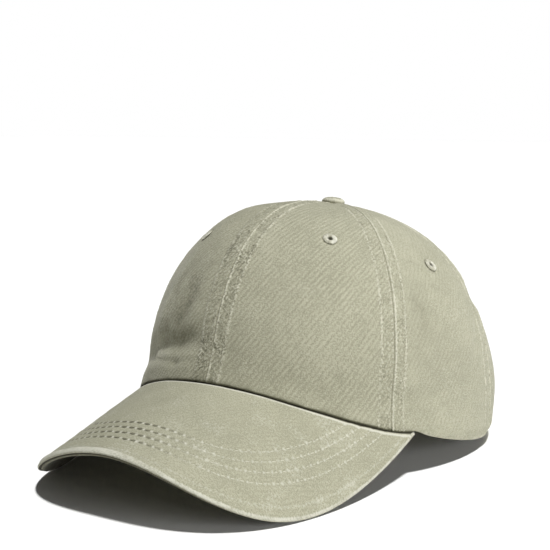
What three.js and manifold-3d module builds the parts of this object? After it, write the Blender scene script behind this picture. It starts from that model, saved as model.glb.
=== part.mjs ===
// A six-panel ponytail baseball cap in washed cotton, at rest on a table.
// Millimetres, +Z up, the peak towards -Y, the wearer's left towards +X.
import * as THREE from 'three';
import Module from 'manifold-3d';

const wasm = await Module();
wasm.setup();

// Crown
const crownHalfWidth = 84;
const crownHalfLength = 93;
const crownHeight = 115.5;
const apexBehindCentre = 16;
const apexTilt = 16;
const apexLean = 1.15;
const waistHeight = 20;
const clothWall = 1.4;
const seamGap = 0.3;
const frontSeamAngle = 56;
const backSeamAngle = 104;

// Peak
const peakLength = 69.5;
const peakThickness = 3;
const peakPitch = 12.6;
const peakBendRadius = 89.5;
const peakBendTaper = 0.27;
const peakEndAngle = 64.2;
const peakTuck = 2.6;
const peakSquareAcross = 2.88;
const peakSquareAlong = 1.94;
const peakRoundedShare = 0.07;
const seatGap = 0.4;

// Rear rim: from this angle back it lies flat on the table
const flatRimAngle = 148;
const rimSweep = 2.4;
const hemShare = 0.1;

// Top button and eyelets
const buttonRadius = 6.4;
const buttonHeight = 4.2;
const buttonSeat = 0.6;
const shankRadius = 2.4;
const buttonHoleRadius = 3.4;
const backingRadius = 6.2;
const backingThickness = 1.2;
const backingSlack = 0.8;
const eyeletRadius = 3.9;
const eyeletBore = 1;
const eyeletNeckRadius = 1.9;
const eyeletFlange = 0.8;
const eyeletSlack = 0.35;

// Sweatband
const bandHeight = 29;
const bandThickness = 1;
const bandSlack = 0.5;

// Arch, slit and their bindings
const archHalfWidth = 45.5;
const archHeight = 55;
const archSquare = 3.4;
const archBindingWidth = 9.6;
const slitHalfWidth = 16.5;
const slitTopHeight = 98;
const slitSquare = 3.2;
const slitFootShare = 0.7;
const slitSway = 4.2;
const slitGapHalfWidth = 5.6;
const slitGapFootHalf = 1.4;
const slitGapOffset = 1.8;
const slitBindingTop = 3.4;
const bindingProud = 0.4;

// Strap and buckle
const strapHeight = 19;
const strapThickness = 1.2;
const strapClearance = 0.5;
const strapTail = 26;
const strapEndLap = 8;
const buckleX = -13;
const buckleBar = 2.2;
const buckleCentreBar = 1.8;
const buckleWindow = 6.3;
const buckleThickness = 1.6;
const buckleFloorGap = 0.4;

const pieceGap = 0.3;

// How the wall curves in towards the top, and how far the rim is tucked in; a minus flares it out
const wallShape = {
  front: { bulge: 2.3, round: 2.5, tuck: -0.025 },
  side: { bulge: 2.4, round: 2.1, tuck: -0.023 },
  back: { bulge: 1.7, round: 1.55, tuck: 0.03 },
};

// Dents and folds: angle from the front in degrees, height as a share of the way up the wall,
// run in degrees from level, length and width as shares of the crown height, depth as a share of foldDepth
const foldDepth = 5;
const folds = [
  { angle: -27, height: 0.13, run: 4, length: 0.30, width: 0.08, depth: 0.55 },
  { angle: -30, height: 0.05, run: 4, length: 0.30, width: 0.06, depth: -0.25 },
  { angle: -44, height: 0.32, run: 80, length: 0.26, width: 0.14, depth: 0.6 },
  { angle: 13, height: 0.33, run: 60, length: 0.26, width: 0.17, depth: 0.3 },
  { angle: 109, height: 0.43, run: 10, length: 0.08, width: 0.06, depth: 0.7 },
  { angle: 119, height: 0.45, run: 75, length: 0.20, width: 0.05, depth: 0.5 },
  { angle: 152, height: 0.71, run: 20, length: 0.10, width: 0.05, depth: 0.5 },
  { angle: 206, height: 0.55, run: 55, length: 0.18, width: 0.07, depth: 0.9 },
  { angle: 236, height: 0.62, run: 30, length: 0.16, width: 0.08, depth: 0.8 },
  { angle: 84, height: 0.18, run: 10, length: 0.30, width: 0.12, depth: 0.35 },
  { angle: -90, height: 0.40, run: 70, length: 0.24, width: 0.10, depth: 0.5 },
];

// The eyelets, one on each panel: angle from the front and height share; the hand-set pairs differ a little
const eyeletRows = [
  { name: 'front', left: { angle: 33.5, height: 0.593 }, right: { angle: 32, height: 0.57 } },
  { name: 'side', left: { angle: 79.5, height: 0.537 }, right: { angle: 79, height: 0.535 } },
  { name: 'back', left: { angle: 136, height: 0.515 }, right: { angle: 136, height: 0.515 } },
];

const centreY = 0;
const rimFrontY = centreY - crownHalfLength;
const waistShare = waistHeight / crownHeight;
const radians = THREE.MathUtils.degToRad;
const clamp = THREE.MathUtils.clamp;
const lerp = THREE.MathUtils.lerp;
const smooth = (x) => THREE.MathUtils.smoothstep(x, 0, 1);

function spread(from, to, steps) {
  return Array.from({ length: steps + 1 }, (_, i) => lerp(from, to, i / steps));
}

// A value that runs smoothly from the front over the sides to the back
function around(theta, column) {
  const front = Math.max(Math.cos(theta), 0) ** 2;
  const back = Math.max(-Math.cos(theta), 0) ** 2;
  const side = wallShape.side[column];
  return side + (wallShape.front[column] - side) * front + (wallShape.back[column] - side) * back;
}

// The peak's upper face: a pitched board, bent over a slightly conical cylinder
function boardDrop(x, y) {
  const forward = rimFrontY - y;
  const radius = Math.max(peakBendRadius - peakBendTaper * forward, peakBendRadius / 2);
  const across = Math.min(Math.abs(x), 0.98 * radius);
  const sag = radius - Math.sqrt(radius * radius - across * across);
  return Math.tan(radians(peakPitch)) * forward + sag / Math.cos(radians(peakPitch));
}

function rimPlan(theta) {
  const share = 1 - around(theta, 'tuck');
  return {
    x: crownHalfWidth * Math.sin(theta) * share,
    y: centreY - crownHalfLength * Math.cos(theta) * share,
  };
}

// Plan outline of the peak's outer edge, u from -1 to 1 between its two corners
function peakOutline(u) {
  const corner = rimPlan(radians(peakEndAngle));
  const turn = u * Math.PI / 2;
  const girth = peakBendRadius * Math.asin(corner.x / peakBendRadius);
  const arc = girth * Math.sign(turn) * Math.abs(Math.sin(turn)) ** (2 / peakSquareAcross);
  const tipY = rimFrontY - peakLength;
  const y = corner.y + (tipY - corner.y) * Math.abs(Math.cos(turn)) ** (2 / peakSquareAlong);
  return { x: peakBendRadius * Math.sin(arc / peakBendRadius), y };
}

function boardNormal(x, y) {
  const d = peakLength / 7000;
  const slopeX = (boardDrop(x + d, y) - boardDrop(x - d, y)) / (2 * d);
  const slopeY = (boardDrop(x, y + d) - boardDrop(x, y - d)) / (2 * d);
  return new THREE.Vector3(slopeX, slopeY, 1).normalize();
}

// Where a point of the peak's cross-section lies, from its inner edge, v 0, to its outer edge, 1
const peakFlatShare = 1 - peakRoundedShare;
function peakDepth(v, side) {
  const rounding = smooth((v - peakFlatShare) / peakRoundedShare);
  return peakThickness / 2 * (side * Math.sqrt(1 - 0.75 * rounding) - 1);
}

// Plan points across the peak, from the tucked inner edge under the rim to the outline
const peakShares = [...spread(0, peakFlatShare, 5), lerp(peakFlatShare, 1, 0.75), 1];
const peakSections = spread(-1, 1, 30);
function peakPlan(u, v) {
  const rim = rimPlan(radians(clamp(u, -0.97, 0.97) * peakEndAngle));
  const inward = 1 - peakTuck / Math.hypot(rim.x, rim.y);
  const outer = peakOutline(u);
  return { x: lerp(rim.x * inward, outer.x, v), y: lerp(rim.y * inward, outer.y, v) };
}

// The front rim stands as high as the peak needs to touch the table with the low points of its edge
function frontRimHeight() {
  const lows = peakSections.flatMap((u) => peakShares.map((v) => {
    const { x, y } = peakPlan(u, v);
    return peakDepth(v, -1) * boardNormal(x, y).z - boardDrop(x, y);
  }));
  return -Math.min(...lows);
}
const frontHeight = frontRimHeight();

function boardHeight(x, y) {
  return frontHeight - boardDrop(x, y);
}

// The rim follows the peak in front, and sweeps down to the table behind its corners
function rimHeight(theta) {
  const angle = Math.abs(THREE.MathUtils.radToDeg(Math.atan2(Math.sin(theta), Math.cos(theta))));
  const corner = rimPlan(radians(peakEndAngle));
  const cornerHeight = boardHeight(corner.x, corner.y) + seatGap;
  if (angle > peakEndAngle) {
    const way = clamp((angle - peakEndAngle) / (flatRimAngle - peakEndAngle), 0, 1);
    return cornerHeight * (1 - way) ** rimSweep;
  }
  const { x, y } = rimPlan(theta);
  return boardHeight(x, y) + seatGap;
}

function ringShare(theta, rise) {
  const upper = clamp((rise - waistShare) / (1 - waistShare), 0, 1);
  const lower = clamp((waistShare - rise) / waistShare, 0, 1);
  const wall = Math.max(1 - upper ** around(theta, 'bulge'), 0) ** (1 / around(theta, 'round'));
  return wall - around(theta, 'tuck') * lower ** 2;
}

// The smooth wall, before folds: theta from the front, t from the rim, 0, to the apex, 1
function wallPoint(theta, t) {
  const rise = Math.sin(t * Math.PI / 2);
  const share = ringShare(theta, rise);
  const rim = rimHeight(theta);
  const upper = clamp((rise - waistShare) / (1 - waistShare), 0, 1);
  return new THREE.Vector3(
    crownHalfWidth * Math.sin(theta) * share,
    centreY - crownHalfLength * Math.cos(theta) * share + apexBehindCentre * rise ** apexLean,
    rim + (crownHeight - rim) * rise + apexTilt * Math.cos(theta) * share * upper ** 2,
  );
}

function wallNormal(theta, t) {
  const d = 0.002;
  const low = Math.max(t - d, 0);
  const along = wallPoint(theta + d, t).sub(wallPoint(theta - d, t));
  const up = wallPoint(theta, t + d).sub(wallPoint(theta, low));
  const normal = along.cross(up);
  normal.z *= smooth(t / hemShare);
  return normal.normalize();
}

function foldDent(theta, t) {
  return folds.reduce((sum, fold) => {
    const turn = theta - radians(fold.angle);
    const away = Math.atan2(Math.sin(turn), Math.cos(turn));
    const across = away * crownHalfWidth * Math.cos(fold.height * Math.PI / 2);
    const up = (t - fold.height) * crownHeight * 1.3;
    const run = radians(fold.run);
    const along = (across * Math.cos(run) + up * Math.sin(run)) / (fold.length * crownHeight);
    const beside = (up * Math.cos(run) - across * Math.sin(run)) / (fold.width * crownHeight);
    return sum + fold.depth * foldDepth * Math.exp(-(along ** 2) - beside ** 2);
  }, 0);
}

// A point on the crown cloth, depth out from its outer face; the hem is cut level or along the peak
function crownPoint(theta, t, depth) {
  const outer = wallPoint(theta, t);
  const hem = 1 - smooth(t / hemShare);
  const reach = depth - foldDent(theta, t) * (1 - hem);
  const point = outer.clone().addScaledVector(wallNormal(theta, t), reach);
  const angle = Math.abs(THREE.MathUtils.radToDeg(Math.atan2(Math.sin(theta), Math.cos(theta))));
  const onPeak = 1 - smooth((angle - peakEndAngle) / 6);
  point.z += (boardHeight(point.x, point.y) - boardHeight(outer.x, outer.y)) * hem * onPeak;
  return point;
}

function ringRadius(theta, t) {
  const share = ringShare(theta, Math.sin(t * Math.PI / 2));
  return Math.hypot(crownHalfWidth * Math.sin(theta), crownHalfLength * Math.cos(theta)) * share;
}

// The share of the way up the wall where a test stops being true
function bisect(isBelow) {
  let low = 0;
  let high = 1;
  for (let i = 0; i < 40; i += 1) {
    const middle = (low + high) / 2;
    if (isBelow(middle)) low = middle;
    else high = middle;
  }
  return low;
}

const climbToRadius = (theta, radius) => bisect((t) => ringRadius(theta, t) > radius);

// How far up the wall the back of the crown stands at a given height above the table
function climbAtHeight(z) {
  return bisect((t) => wallPoint(Math.PI, t).z < z);
}

// A point at the back, x across from the centre and z above the table
function backPoint(x, z, depth) {
  const t = climbAtHeight(z);
  return crownPoint(backAngle(x, t), t, depth);
}

function backAngle(x, t) {
  const share = ringShare(Math.PI, Math.sin(t * Math.PI / 2));
  return Math.PI - Math.asin(clamp(x / (crownHalfWidth * share), -1, 1));
}

// Skins a run of sections, each an outer and an inner row of points, into one closed body
function loft(sections, closed = false) {
  const count = sections[0].outer.length;
  const loops = sections.map(({ outer, inner }) => [...outer, ...[...inner].reverse()]);
  const size = loops[0].length;
  const positions = loops.flat().flatMap((p) => [p.x, p.y, p.z]);
  const faces = [];
  const quad = (a, b, c, d) => faces.push(a, b, c, a, c, d);
  const last = closed ? loops.length : loops.length - 1;
  for (let i = 0; i < last; i += 1) {
    const here = i * size;
    const next = ((i + 1) % loops.length) * size;
    for (let j = 0; j < size; j += 1) {
      const k = (j + 1) % size;
      quad(here + j, here + k, next + k, next + j);
    }
  }
  if (!closed) {
    const end = (loops.length - 1) * size;
    for (let j = 0; j < count - 1; j += 1) {
      quad(size - 1 - j, size - 2 - j, j + 1, j);
      quad(end + j, end + j + 1, end + size - 2 - j, end + size - 1 - j);
    }
  }
  return outwardGeometry(positions, faces);
}

function outwardGeometry(positions, faces) {
  const point = (i) => new THREE.Vector3().fromArray(positions, 3 * i);
  let volume = 0;
  for (let i = 0; i < faces.length; i += 3) {
    volume += point(faces[i]).dot(point(faces[i + 1]).cross(point(faces[i + 2])));
  }
  if (volume < 0) {
    for (let i = 0; i < faces.length; i += 3) {
      [faces[i + 1], faces[i + 2]] = [faces[i + 2], faces[i + 1]];
    }
  }
  const geometry = new THREE.BufferGeometry();
  geometry.setAttribute('position', new THREE.Float32BufferAttribute(positions, 3));
  geometry.setIndex(faces);
  geometry.computeVertexNormals();
  return geometry;
}

function solidOf(geometry) {
  return new wasm.Manifold(new wasm.Mesh({
    numProp: 3,
    vertProperties: new Float32Array(geometry.getAttribute('position').array),
    triVerts: new Uint32Array(geometry.getIndex().array),
  }));
}

function geometryOf(solid) {
  const mesh = solid.getMesh();
  const geometry = new THREE.BufferGeometry();
  geometry.setAttribute('position', new THREE.Float32BufferAttribute(mesh.vertProperties, 3));
  geometry.setIndex([...mesh.triVerts]);
  geometry.computeVertexNormals();
  return geometry;
}

// Turns a profile of radius and height pairs about an axis at a place
function turned(profile, place, axis, sides) {
  const frame = new THREE.Quaternion().setFromUnitVectors(new THREE.Vector3(0, 0, 1), axis);
  const ring = (k) => profile.map(([radius, height]) => new THREE.Vector3(
    radius * Math.cos(2 * Math.PI * k / sides),
    radius * Math.sin(2 * Math.PI * k / sides),
    height,
  ).applyQuaternion(frame).add(place));
  return Array.from({ length: sides }, (_, k) => ring(k));
}

function ringBody(profile, place, axis, sides) {
  const half = profile.length / 2;
  const sections = turned(profile, place, axis, sides).map((loop) => ({
    outer: loop.slice(0, half),
    inner: loop.slice(half).reverse(),
  }));
  return loft(sections, true);
}

const topClimb = (theta) => climbToRadius(theta, buttonHoleRadius);
const seamSlip = (theta, t) => seamGap / 2 / ringRadius(theta, t);

// A panel between two seams; side is 1 on the wearer's left and -1 on the right
function plainPanel(from, to, side, columnAngles, rows) {
  const climbs = spread(0, 1, rows).map((share) => (theta) => share * topClimb(theta));
  const sections = columnAngles.map((angle) => {
    const column = (depth) => climbs.map((climb) => {
      const plain = side * radians(angle);
      const t = climb(plain);
      let theta = plain;
      if (angle === from) theta += side * seamSlip(plain, t);
      if (angle === to) theta -= side * seamSlip(plain, t);
      return crownPoint(theta, t, depth);
    });
    return { outer: column(0), inner: column(-clothWall) };
  });
  return loft(sections);
}

function frontPanel(side) {
  return plainPanel(0, frontSeamAngle, side, spread(0, frontSeamAngle, 10), 15);
}

function sidePanel(side) {
  const angles = [
    ...spread(frontSeamAngle, peakEndAngle, 2),
    ...spread(peakEndAngle, backSeamAngle, 7).slice(1),
  ];
  return plainPanel(frontSeamAngle, backSeamAngle, side, angles, 15);
}

// Half outline of the arch, grown by a margin, turn from 0 at its foot to a right angle at its top
function archEdge(turn, halfWidth, height) {
  const power = 2 / archSquare;
  return { x: halfWidth * Math.cos(turn) ** power, z: height * Math.sin(turn) ** power };
}

const slitFootHeight = archHeight + pieceGap;

// The slit sways to one side and back between its foot, rise 0, and its top, 1
function slitCentre(rise) {
  return -slitSway * Math.cos(1.5 * Math.PI * rise);
}

function slitReach(rise) {
  const round = Math.max(1 - rise ** slitSquare, 0) ** (1 / slitSquare);
  return slitHalfWidth * round * lerp(slitFootShare, 1, smooth(rise * 3));
}

// A point on the slit's edge, grown by a margin; side is 1 on the wearer's left and -1 on the right
function slitEdge(rise, side, grow) {
  const reach = slitReach(rise) + grow * Math.sqrt(1 - rise ** 4);
  return {
    x: slitCentre(rise) + side * reach,
    z: lerp(slitFootHeight, slitTopHeight + grow, rise),
  };
}

// The open gap inside the slit binding: widest below the middle, closed at its top
function slitGapEdge(rise, side) {
  const swell = slitGapHalfWidth * Math.sin(Math.PI * rise ** 0.8);
  const reach = Math.max(swell, slitGapFootHalf * (1 - rise));
  const offset = slitGapOffset * (1 - rise ** 4);
  return {
    x: slitCentre(rise) + offset + side * reach,
    z: lerp(slitFootHeight, slitTopHeight - slitBindingTop, rise),
  };
}

// How far round the arch its edge meets the slit's foot on one side
function archShoulder(side) {
  const foot = side * slitEdge(0, side, pieceGap).x;
  return Math.acos((foot / (archHalfWidth + pieceGap)) ** (archSquare / 2));
}
const archTurns = (side) => spread(0, archShoulder(side), 7);
const slitRises = spread(0, Math.PI / 2, 9).map(Math.sin);

function backPanel(side) {
  const openings = [
    ...archTurns(side).map((turn) => archEdge(turn, archHalfWidth + pieceGap, archHeight + pieceGap)),
    ...slitRises.slice(1).map((rise) => {
      const { x, z } = slitEdge(rise, side, pieceGap);
      return { x: side * x, z };
    }),
  ];
  const lastClimb = climbAtHeight(openings.at(-1).z);
  const top = topClimb(Math.PI);
  const rows = [
    ...openings.map(({ x, z }) => ({ t: climbAtHeight(z), x: Math.max(x, seamGap / 2) })),
    ...spread(lastClimb, top, 4).slice(1).map((t) => ({ t, x: seamGap / 2 })),
  ];
  const sections = spread(0, 1, 11).map((share) => {
    const column = (depth) => rows.map(({ t, x }) => {
      const seam = radians(backSeamAngle);
      const theta = lerp(seam + seamSlip(seam, t), backAngle(x, t), share);
      const climb = t * lerp(1, topClimb(theta) / top, smooth((t - lastClimb) / (top - lastClimb)));
      return crownPoint(side * theta, climb, depth);
    });
    return { outer: column(0), inner: column(-clothWall) };
  });
  return loft(sections);
}

// A band between two edges, each a list of x and z, laid on the back of the crown
function backBand(outline, outerDepth, innerDepth) {
  return loft(outline.map(({ from, to }) => {
    const row = (depth) => spread(0, 1, 2).map((share) => backPoint(
      lerp(from.x, to.x, share),
      lerp(from.z, to.z, share),
      depth,
    ));
    return { outer: row(outerDepth), inner: row(innerDepth) };
  }));
}

function archBinding() {
  const inner = { width: archHalfWidth - archBindingWidth, height: archHeight - archBindingWidth };
  const leg = (side) => [...archTurns(side), Math.PI / 2].map((turn) => {
    const from = archEdge(turn, archHalfWidth, archHeight);
    const to = archEdge(turn, inner.width, inner.height);
    return { from: { ...from, x: side * from.x }, to: { ...to, x: side * to.x } };
  });
  return backBand([...leg(1), ...leg(-1).slice(0, -1).reverse()], bindingProud, -clothWall - bindingProud);
}

function slitBinding() {
  const half = (side) => slitRises.map((rise) => ({
    from: slitEdge(rise, side, 0),
    to: slitGapEdge(rise, side),
  }));
  return backBand([...half(1), ...half(-1).slice(0, -1).reverse()], bindingProud, -clothWall - bindingProud);
}

function sweatband() {
  const reach = 180 - THREE.MathUtils.radToDeg(Math.asin((archHalfWidth + 2) / crownHalfWidth));
  const depth = -clothWall - pieceGap - bandSlack;
  const lift = 1;
  const sections = spread(-reach, reach, 60).map((angle) => {
    const theta = radians(angle);
    const rim = rimHeight(theta);
    const climb = (height) => Math.asin(height / (crownHeight - rim)) * 2 / Math.PI;
    const column = (d) => spread(lift, bandHeight, 5).map((h) => crownPoint(theta, climb(h), d));
    return { outer: column(depth), inner: column(depth - bandThickness) };
  });
  return loft(sections);
}

function peak() {
  return loft(peakSections.map((u) => {
    const row = (side) => peakShares.map((v) => {
      const { x, y } = peakPlan(u, v);
      const face = new THREE.Vector3(x, y, boardHeight(x, y));
      return face.addScaledVector(boardNormal(x, y), peakDepth(v, side));
    });
    return { outer: row(1), inner: row(-1) };
  }));
}

// The button's shank passes through the hole that the six panels leave round the apex
function topButton() {
  const place = wallPoint(0, 1);
  const axis = new THREE.Vector3(0, apexTilt / crownHalfLength, 1).normalize();
  const under = -clothWall - pieceGap - backingSlack;
  const dome = spread(0, Math.PI / 2, 5).map((turn) => [
    buttonRadius * Math.cos(turn) ** 0.8,
    buttonSeat + 1 + (buttonHeight - 1 - buttonSeat) * Math.sin(turn),
  ]);
  const profile = [
    [backingRadius * 0.9, under - backingThickness],
    [backingRadius, under - 0.2],
    [backingRadius * 0.9, under],
    [shankRadius, under],
    [shankRadius, buttonSeat],
    [buttonRadius * 0.92, buttonSeat],
    ...dome.slice(0, -1),
  ];
  return discBody(profile, place, axis, 20);
}

// A turned body closed on its axis at both ends
function discBody(profile, place, axis, sides) {
  const loops = turned(profile, place, axis, sides);
  const positions = loops.flat().flatMap((p) => [p.x, p.y, p.z]);
  const count = profile.length;
  const faces = [];
  for (let i = 0; i < sides; i += 1) {
    const here = i * count;
    const next = ((i + 1) % sides) * count;
    for (let j = 0; j < count - 1; j += 1) {
      faces.push(here + j, next + j, next + j + 1, here + j, next + j + 1, here + j + 1);
    }
  }
  const centre = (height) => place.clone().addScaledVector(axis, height);
  const bottom = centre(profile[0][1]);
  const top = centre(profile.at(-1)[1]);
  positions.push(bottom.x, bottom.y, bottom.z, top.x, top.y, top.z);
  const bottomIndex = sides * count;
  for (let i = 0; i < sides; i += 1) {
    const here = i * count;
    const next = ((i + 1) % sides) * count;
    faces.push(bottomIndex, next, here);
    faces.push(bottomIndex + 1, here + count - 1, next + count - 1);
  }
  return outwardGeometry(positions, faces);
}

function eyeletPlace(row, side) {
  const { angle, height } = side > 0 ? row.left : row.right;
  const theta = side * radians(angle);
  const place = crownPoint(theta, height, 0);
  const across = crownPoint(theta + 0.01, height, 0).sub(crownPoint(theta - 0.01, height, 0));
  const up = crownPoint(theta, height + 0.01, 0).sub(crownPoint(theta, height - 0.01, 0));
  return { place, axis: across.cross(up).normalize() };
}

// The thread ring of an air hole, held by the cloth between its two flanges
function eyelet(row, side) {
  const { place, axis } = eyeletPlace(row, side);
  const under = -clothWall - pieceGap - eyeletSlack;
  const profile = [
    [eyeletBore, under - eyeletFlange * 0.5],
    [eyeletBore, pieceGap + eyeletFlange * 0.5],
    [(eyeletBore + eyeletRadius) / 2, pieceGap + eyeletFlange],
    [eyeletRadius, pieceGap + eyeletFlange * 0.4],
    [eyeletRadius * 0.95, pieceGap],
    [eyeletNeckRadius, pieceGap],
    [eyeletNeckRadius, under],
    [eyeletRadius * 0.9, under],
    [eyeletRadius * 0.85, under - eyeletFlange * 0.6],
    [(eyeletBore + eyeletRadius) / 2, under - eyeletFlange],
  ];
  return ringBody(profile, place, axis, 12);
}

function airHole(row, side) {
  const { place, axis } = eyeletPlace(row, side);
  const radius = eyeletNeckRadius + pieceGap;
  const reach = clothWall + 3;
  return discBody([[radius, -reach], [radius, reach]], place, axis, 12);
}

function withAirHole(panel, row, side) {
  return geometryOf(solidOf(panel).subtract(solidOf(airHole(row, side))));
}

// Strap, buckle and tab lie on the back of the crown, given by x across and depth out from the cloth
const strapFoot = buckleFloorGap + buckleBar + strapClearance;
const windowFoot = strapFoot - strapClearance;
const windowTop = strapFoot + strapHeight + strapClearance;
const nearBar = { from: buckleX, to: buckleX - buckleBar };
const centreBar = {
  from: nearBar.to - buckleWindow,
  to: nearBar.to - buckleWindow - buckleCentreBar,
};
const farBar = {
  from: centreBar.to - buckleWindow,
  to: centreBar.to - buckleWindow - buckleBar,
};
const legInnerX = archHalfWidth - archBindingWidth;
const behindBinding = -clothWall - bindingProud - pieceGap - strapThickness / 2;
const underBar = -pieceGap - strapThickness / 2;
const overBar = buckleThickness + pieceGap + strapThickness / 2;

// The belt that strap, buckle and tab share: straight from the table up to the buckle's top
function beltPoint(x, z, depth) {
  const top = windowTop + buckleBar;
  return backPoint(x, 0, depth).lerp(backPoint(x, top, depth), z / top);
}

// A folded strip: a centre line of x and depth, thick to both sides of it, between two heights
function strip(line, foot, height) {
  const curve = new THREE.CatmullRomCurve3(
    line.map(([x, depth]) => new THREE.Vector3(x, depth, 0)),
    false,
    'centripetal',
  );
  const steps = line.length * 3;
  const half = strapThickness / 2;
  const sections = spread(0, 1, steps).map((share) => {
    const centre = curve.getPoint(share);
    const run = curve.getTangent(share);
    const side = (sign) => ({ x: centre.x - run.y * half * sign, depth: centre.y + run.x * half * sign });
    const column = ({ x, depth }) => [foot, foot + height].map((z) => beltPoint(x, z, depth));
    return { outer: column(side(1)), inner: column(side(-1)) };
  });
  return loft(sections);
}

function strap() {
  const tailDepth = underBar - strapThickness - pieceGap;
  const turnX = centreBar.to - pieceGap - strapThickness / 2;
  const line = [
    [legInnerX + strapEndLap, behindBinding],
    [legInnerX - 1.5, behindBinding],
    [legInnerX - 7, underBar - 0.3],
    [legInnerX - 18, underBar],
    [5, underBar],
    [nearBar.from + 1, underBar],
    [nearBar.to - 0.3, underBar],
    [centreBar.from + 1.6, overBar - 0.9],
    [centreBar.from, overBar],
    [(centreBar.from + centreBar.to) / 2, overBar],
    [turnX + 0.4, overBar - 0.3],
    [turnX - 0.3, buckleThickness / 2],
    [turnX - 0.2, underBar],
    [turnX + 1.4, tailDepth],
    [centreBar.from, tailDepth],
    [nearBar.to, tailDepth],
    [nearBar.from + strapTail - 10, tailDepth],
  ];
  return strip(line, strapFoot, strapHeight);
}

function buckleTab() {
  const turnX = farBar.from + pieceGap + strapThickness / 2;
  const legX = -legInnerX;
  const line = [
    [legX - strapEndLap, behindBinding],
    [legX + 1, behindBinding],
    [farBar.to, underBar],
    [turnX - 0.6, underBar + 0.1],
    [turnX + 0.1, buckleThickness / 2],
    [turnX - 0.6, overBar - 0.1],
    [farBar.to, overBar],
    [legX + 0.4, overBar - 0.9],
  ];
  return strip(line, strapFoot, strapHeight);
}

function barBlock(fromX, toX, fromZ, toZ, steps) {
  return loft(spread(fromZ, toZ, steps).map((z) => {
    const row = (depth) => spread(fromX, toX, 2).map((x) => beltPoint(x, z, depth));
    return { outer: row(buckleThickness), inner: row(0) };
  }));
}

// The slide: a rounded frame round two windows, with the centre bar that the strap turns over
function buckle() {
  const corner = buckleBar * 1.3;
  const low = windowFoot - buckleBar;
  const high = windowTop + buckleBar;
  const outline = (grow) => {
    const from = nearBar.to + grow;
    const to = farBar.from - grow;
    const foot = windowFoot - grow;
    const top = windowTop + grow;
    const round = grow > 0 ? corner : 0.6;
    const corners = [
      { x: from - round, z: foot + round, turn: -90 },
      { x: from - round, z: top - round, turn: 0 },
      { x: to + round, z: top - round, turn: 90 },
      { x: to + round, z: foot + round, turn: 180 },
    ];
    return corners.flatMap(({ x, z, turn }) => spread(turn, turn + 90, 3).map((angle) => ({
      x: x + round * Math.cos(radians(angle)),
      z: z + round * Math.sin(radians(angle)),
    })));
  };
  const outer = outline(buckleBar);
  const inner = outline(0);
  const sections = outer.map((point, k) => {
    const row = (depth) => [point, inner[k]].map(({ x, z }) => beltPoint(x, z, depth));
    return { outer: row(buckleThickness), inner: row(0) };
  });
  const frame = solidOf(loft(sections, true));
  const bar = solidOf(barBlock(centreBar.from, centreBar.to, low + 1, high - 1, 3));
  return geometryOf(frame.add(bar));
}

function cloth(colour) {
  return new THREE.MeshStandardMaterial({ color: colour, roughness: 0.95, metalness: 0 });
}
const twill = cloth('#a9a78a');
const binding = cloth('#b0ad92');
const thread = cloth('#b7b49a');
const brass = new THREE.MeshStandardMaterial({ color: '#7d7458', roughness: 0.4, metalness: 1 });

const cap = new THREE.Group();
function addPiece(name, geometry, material) {
  const mesh = new THREE.Mesh(geometry, material.clone());
  mesh.name = name;
  cap.add(mesh);
}

const panels = { front: frontPanel, side: sidePanel, back: backPanel };
for (const [sideName, side] of [['left', 1], ['right', -1]]) {
  for (const row of eyeletRows) {
    const panel = withAirHole(panels[row.name](side), row, side);
    addPiece(`panel_${row.name}_${sideName}`, panel, twill);
    addPiece(`eyelet_${row.name}_${sideName}`, eyelet(row, side), thread);
  }
}
addPiece('peak', peak(), twill);
addPiece('sweatband', sweatband(), binding);
addPiece('top_button', topButton(), twill);
addPiece('arch_binding', archBinding(), binding);
addPiece('slit_binding', slitBinding(), binding);
addPiece('strap', strap(), binding);
addPiece('buckle', buckle(), brass);
addPiece('buckle_tab', buckleTab(), binding);

// The origin is on the table, under the middle of the cap's box
const box = new THREE.Box3().setFromObject(cap, true);
const middle = box.getCenter(new THREE.Vector3());
cap.position.set(-middle.x, -middle.y, -box.min.z);
cap.updateMatrixWorld(true);

export default cap;
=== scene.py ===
import collections
import math

import bpy
import numpy as np
from mathutils import Matrix, Vector


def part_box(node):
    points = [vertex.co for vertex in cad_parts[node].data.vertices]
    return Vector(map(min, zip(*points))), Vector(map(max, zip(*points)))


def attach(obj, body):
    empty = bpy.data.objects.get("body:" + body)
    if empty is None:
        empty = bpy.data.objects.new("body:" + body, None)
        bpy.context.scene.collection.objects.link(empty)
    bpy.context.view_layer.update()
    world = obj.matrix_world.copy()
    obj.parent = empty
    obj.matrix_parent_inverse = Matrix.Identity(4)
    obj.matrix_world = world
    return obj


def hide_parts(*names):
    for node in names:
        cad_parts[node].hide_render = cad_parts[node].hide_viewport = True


# A ponytail baseball cap in washed cotton twill. The shape functions work in millimetres with the
# middle of the crown at 0; add_mesh() moves each piece into the frame and turns it into metres.
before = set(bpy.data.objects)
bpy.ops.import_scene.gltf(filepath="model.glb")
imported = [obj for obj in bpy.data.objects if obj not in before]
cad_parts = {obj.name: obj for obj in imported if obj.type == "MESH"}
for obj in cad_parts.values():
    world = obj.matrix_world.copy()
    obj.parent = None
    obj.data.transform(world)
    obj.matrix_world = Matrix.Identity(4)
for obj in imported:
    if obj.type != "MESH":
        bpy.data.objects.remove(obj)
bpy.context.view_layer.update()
MM = 0.001

# Crown
CROWN_HALF_WIDTH = 84.0
CROWN_HALF_LENGTH = 93.0
CROWN_HEIGHT = 115.5
APEX_BEHIND_CENTRE = 16.0
APEX_TILT = 16.0
APEX_LEAN = 1.15
WAIST_SHARE = 20.0 / CROWN_HEIGHT
CLOTH_WALL = 1.4
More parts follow.
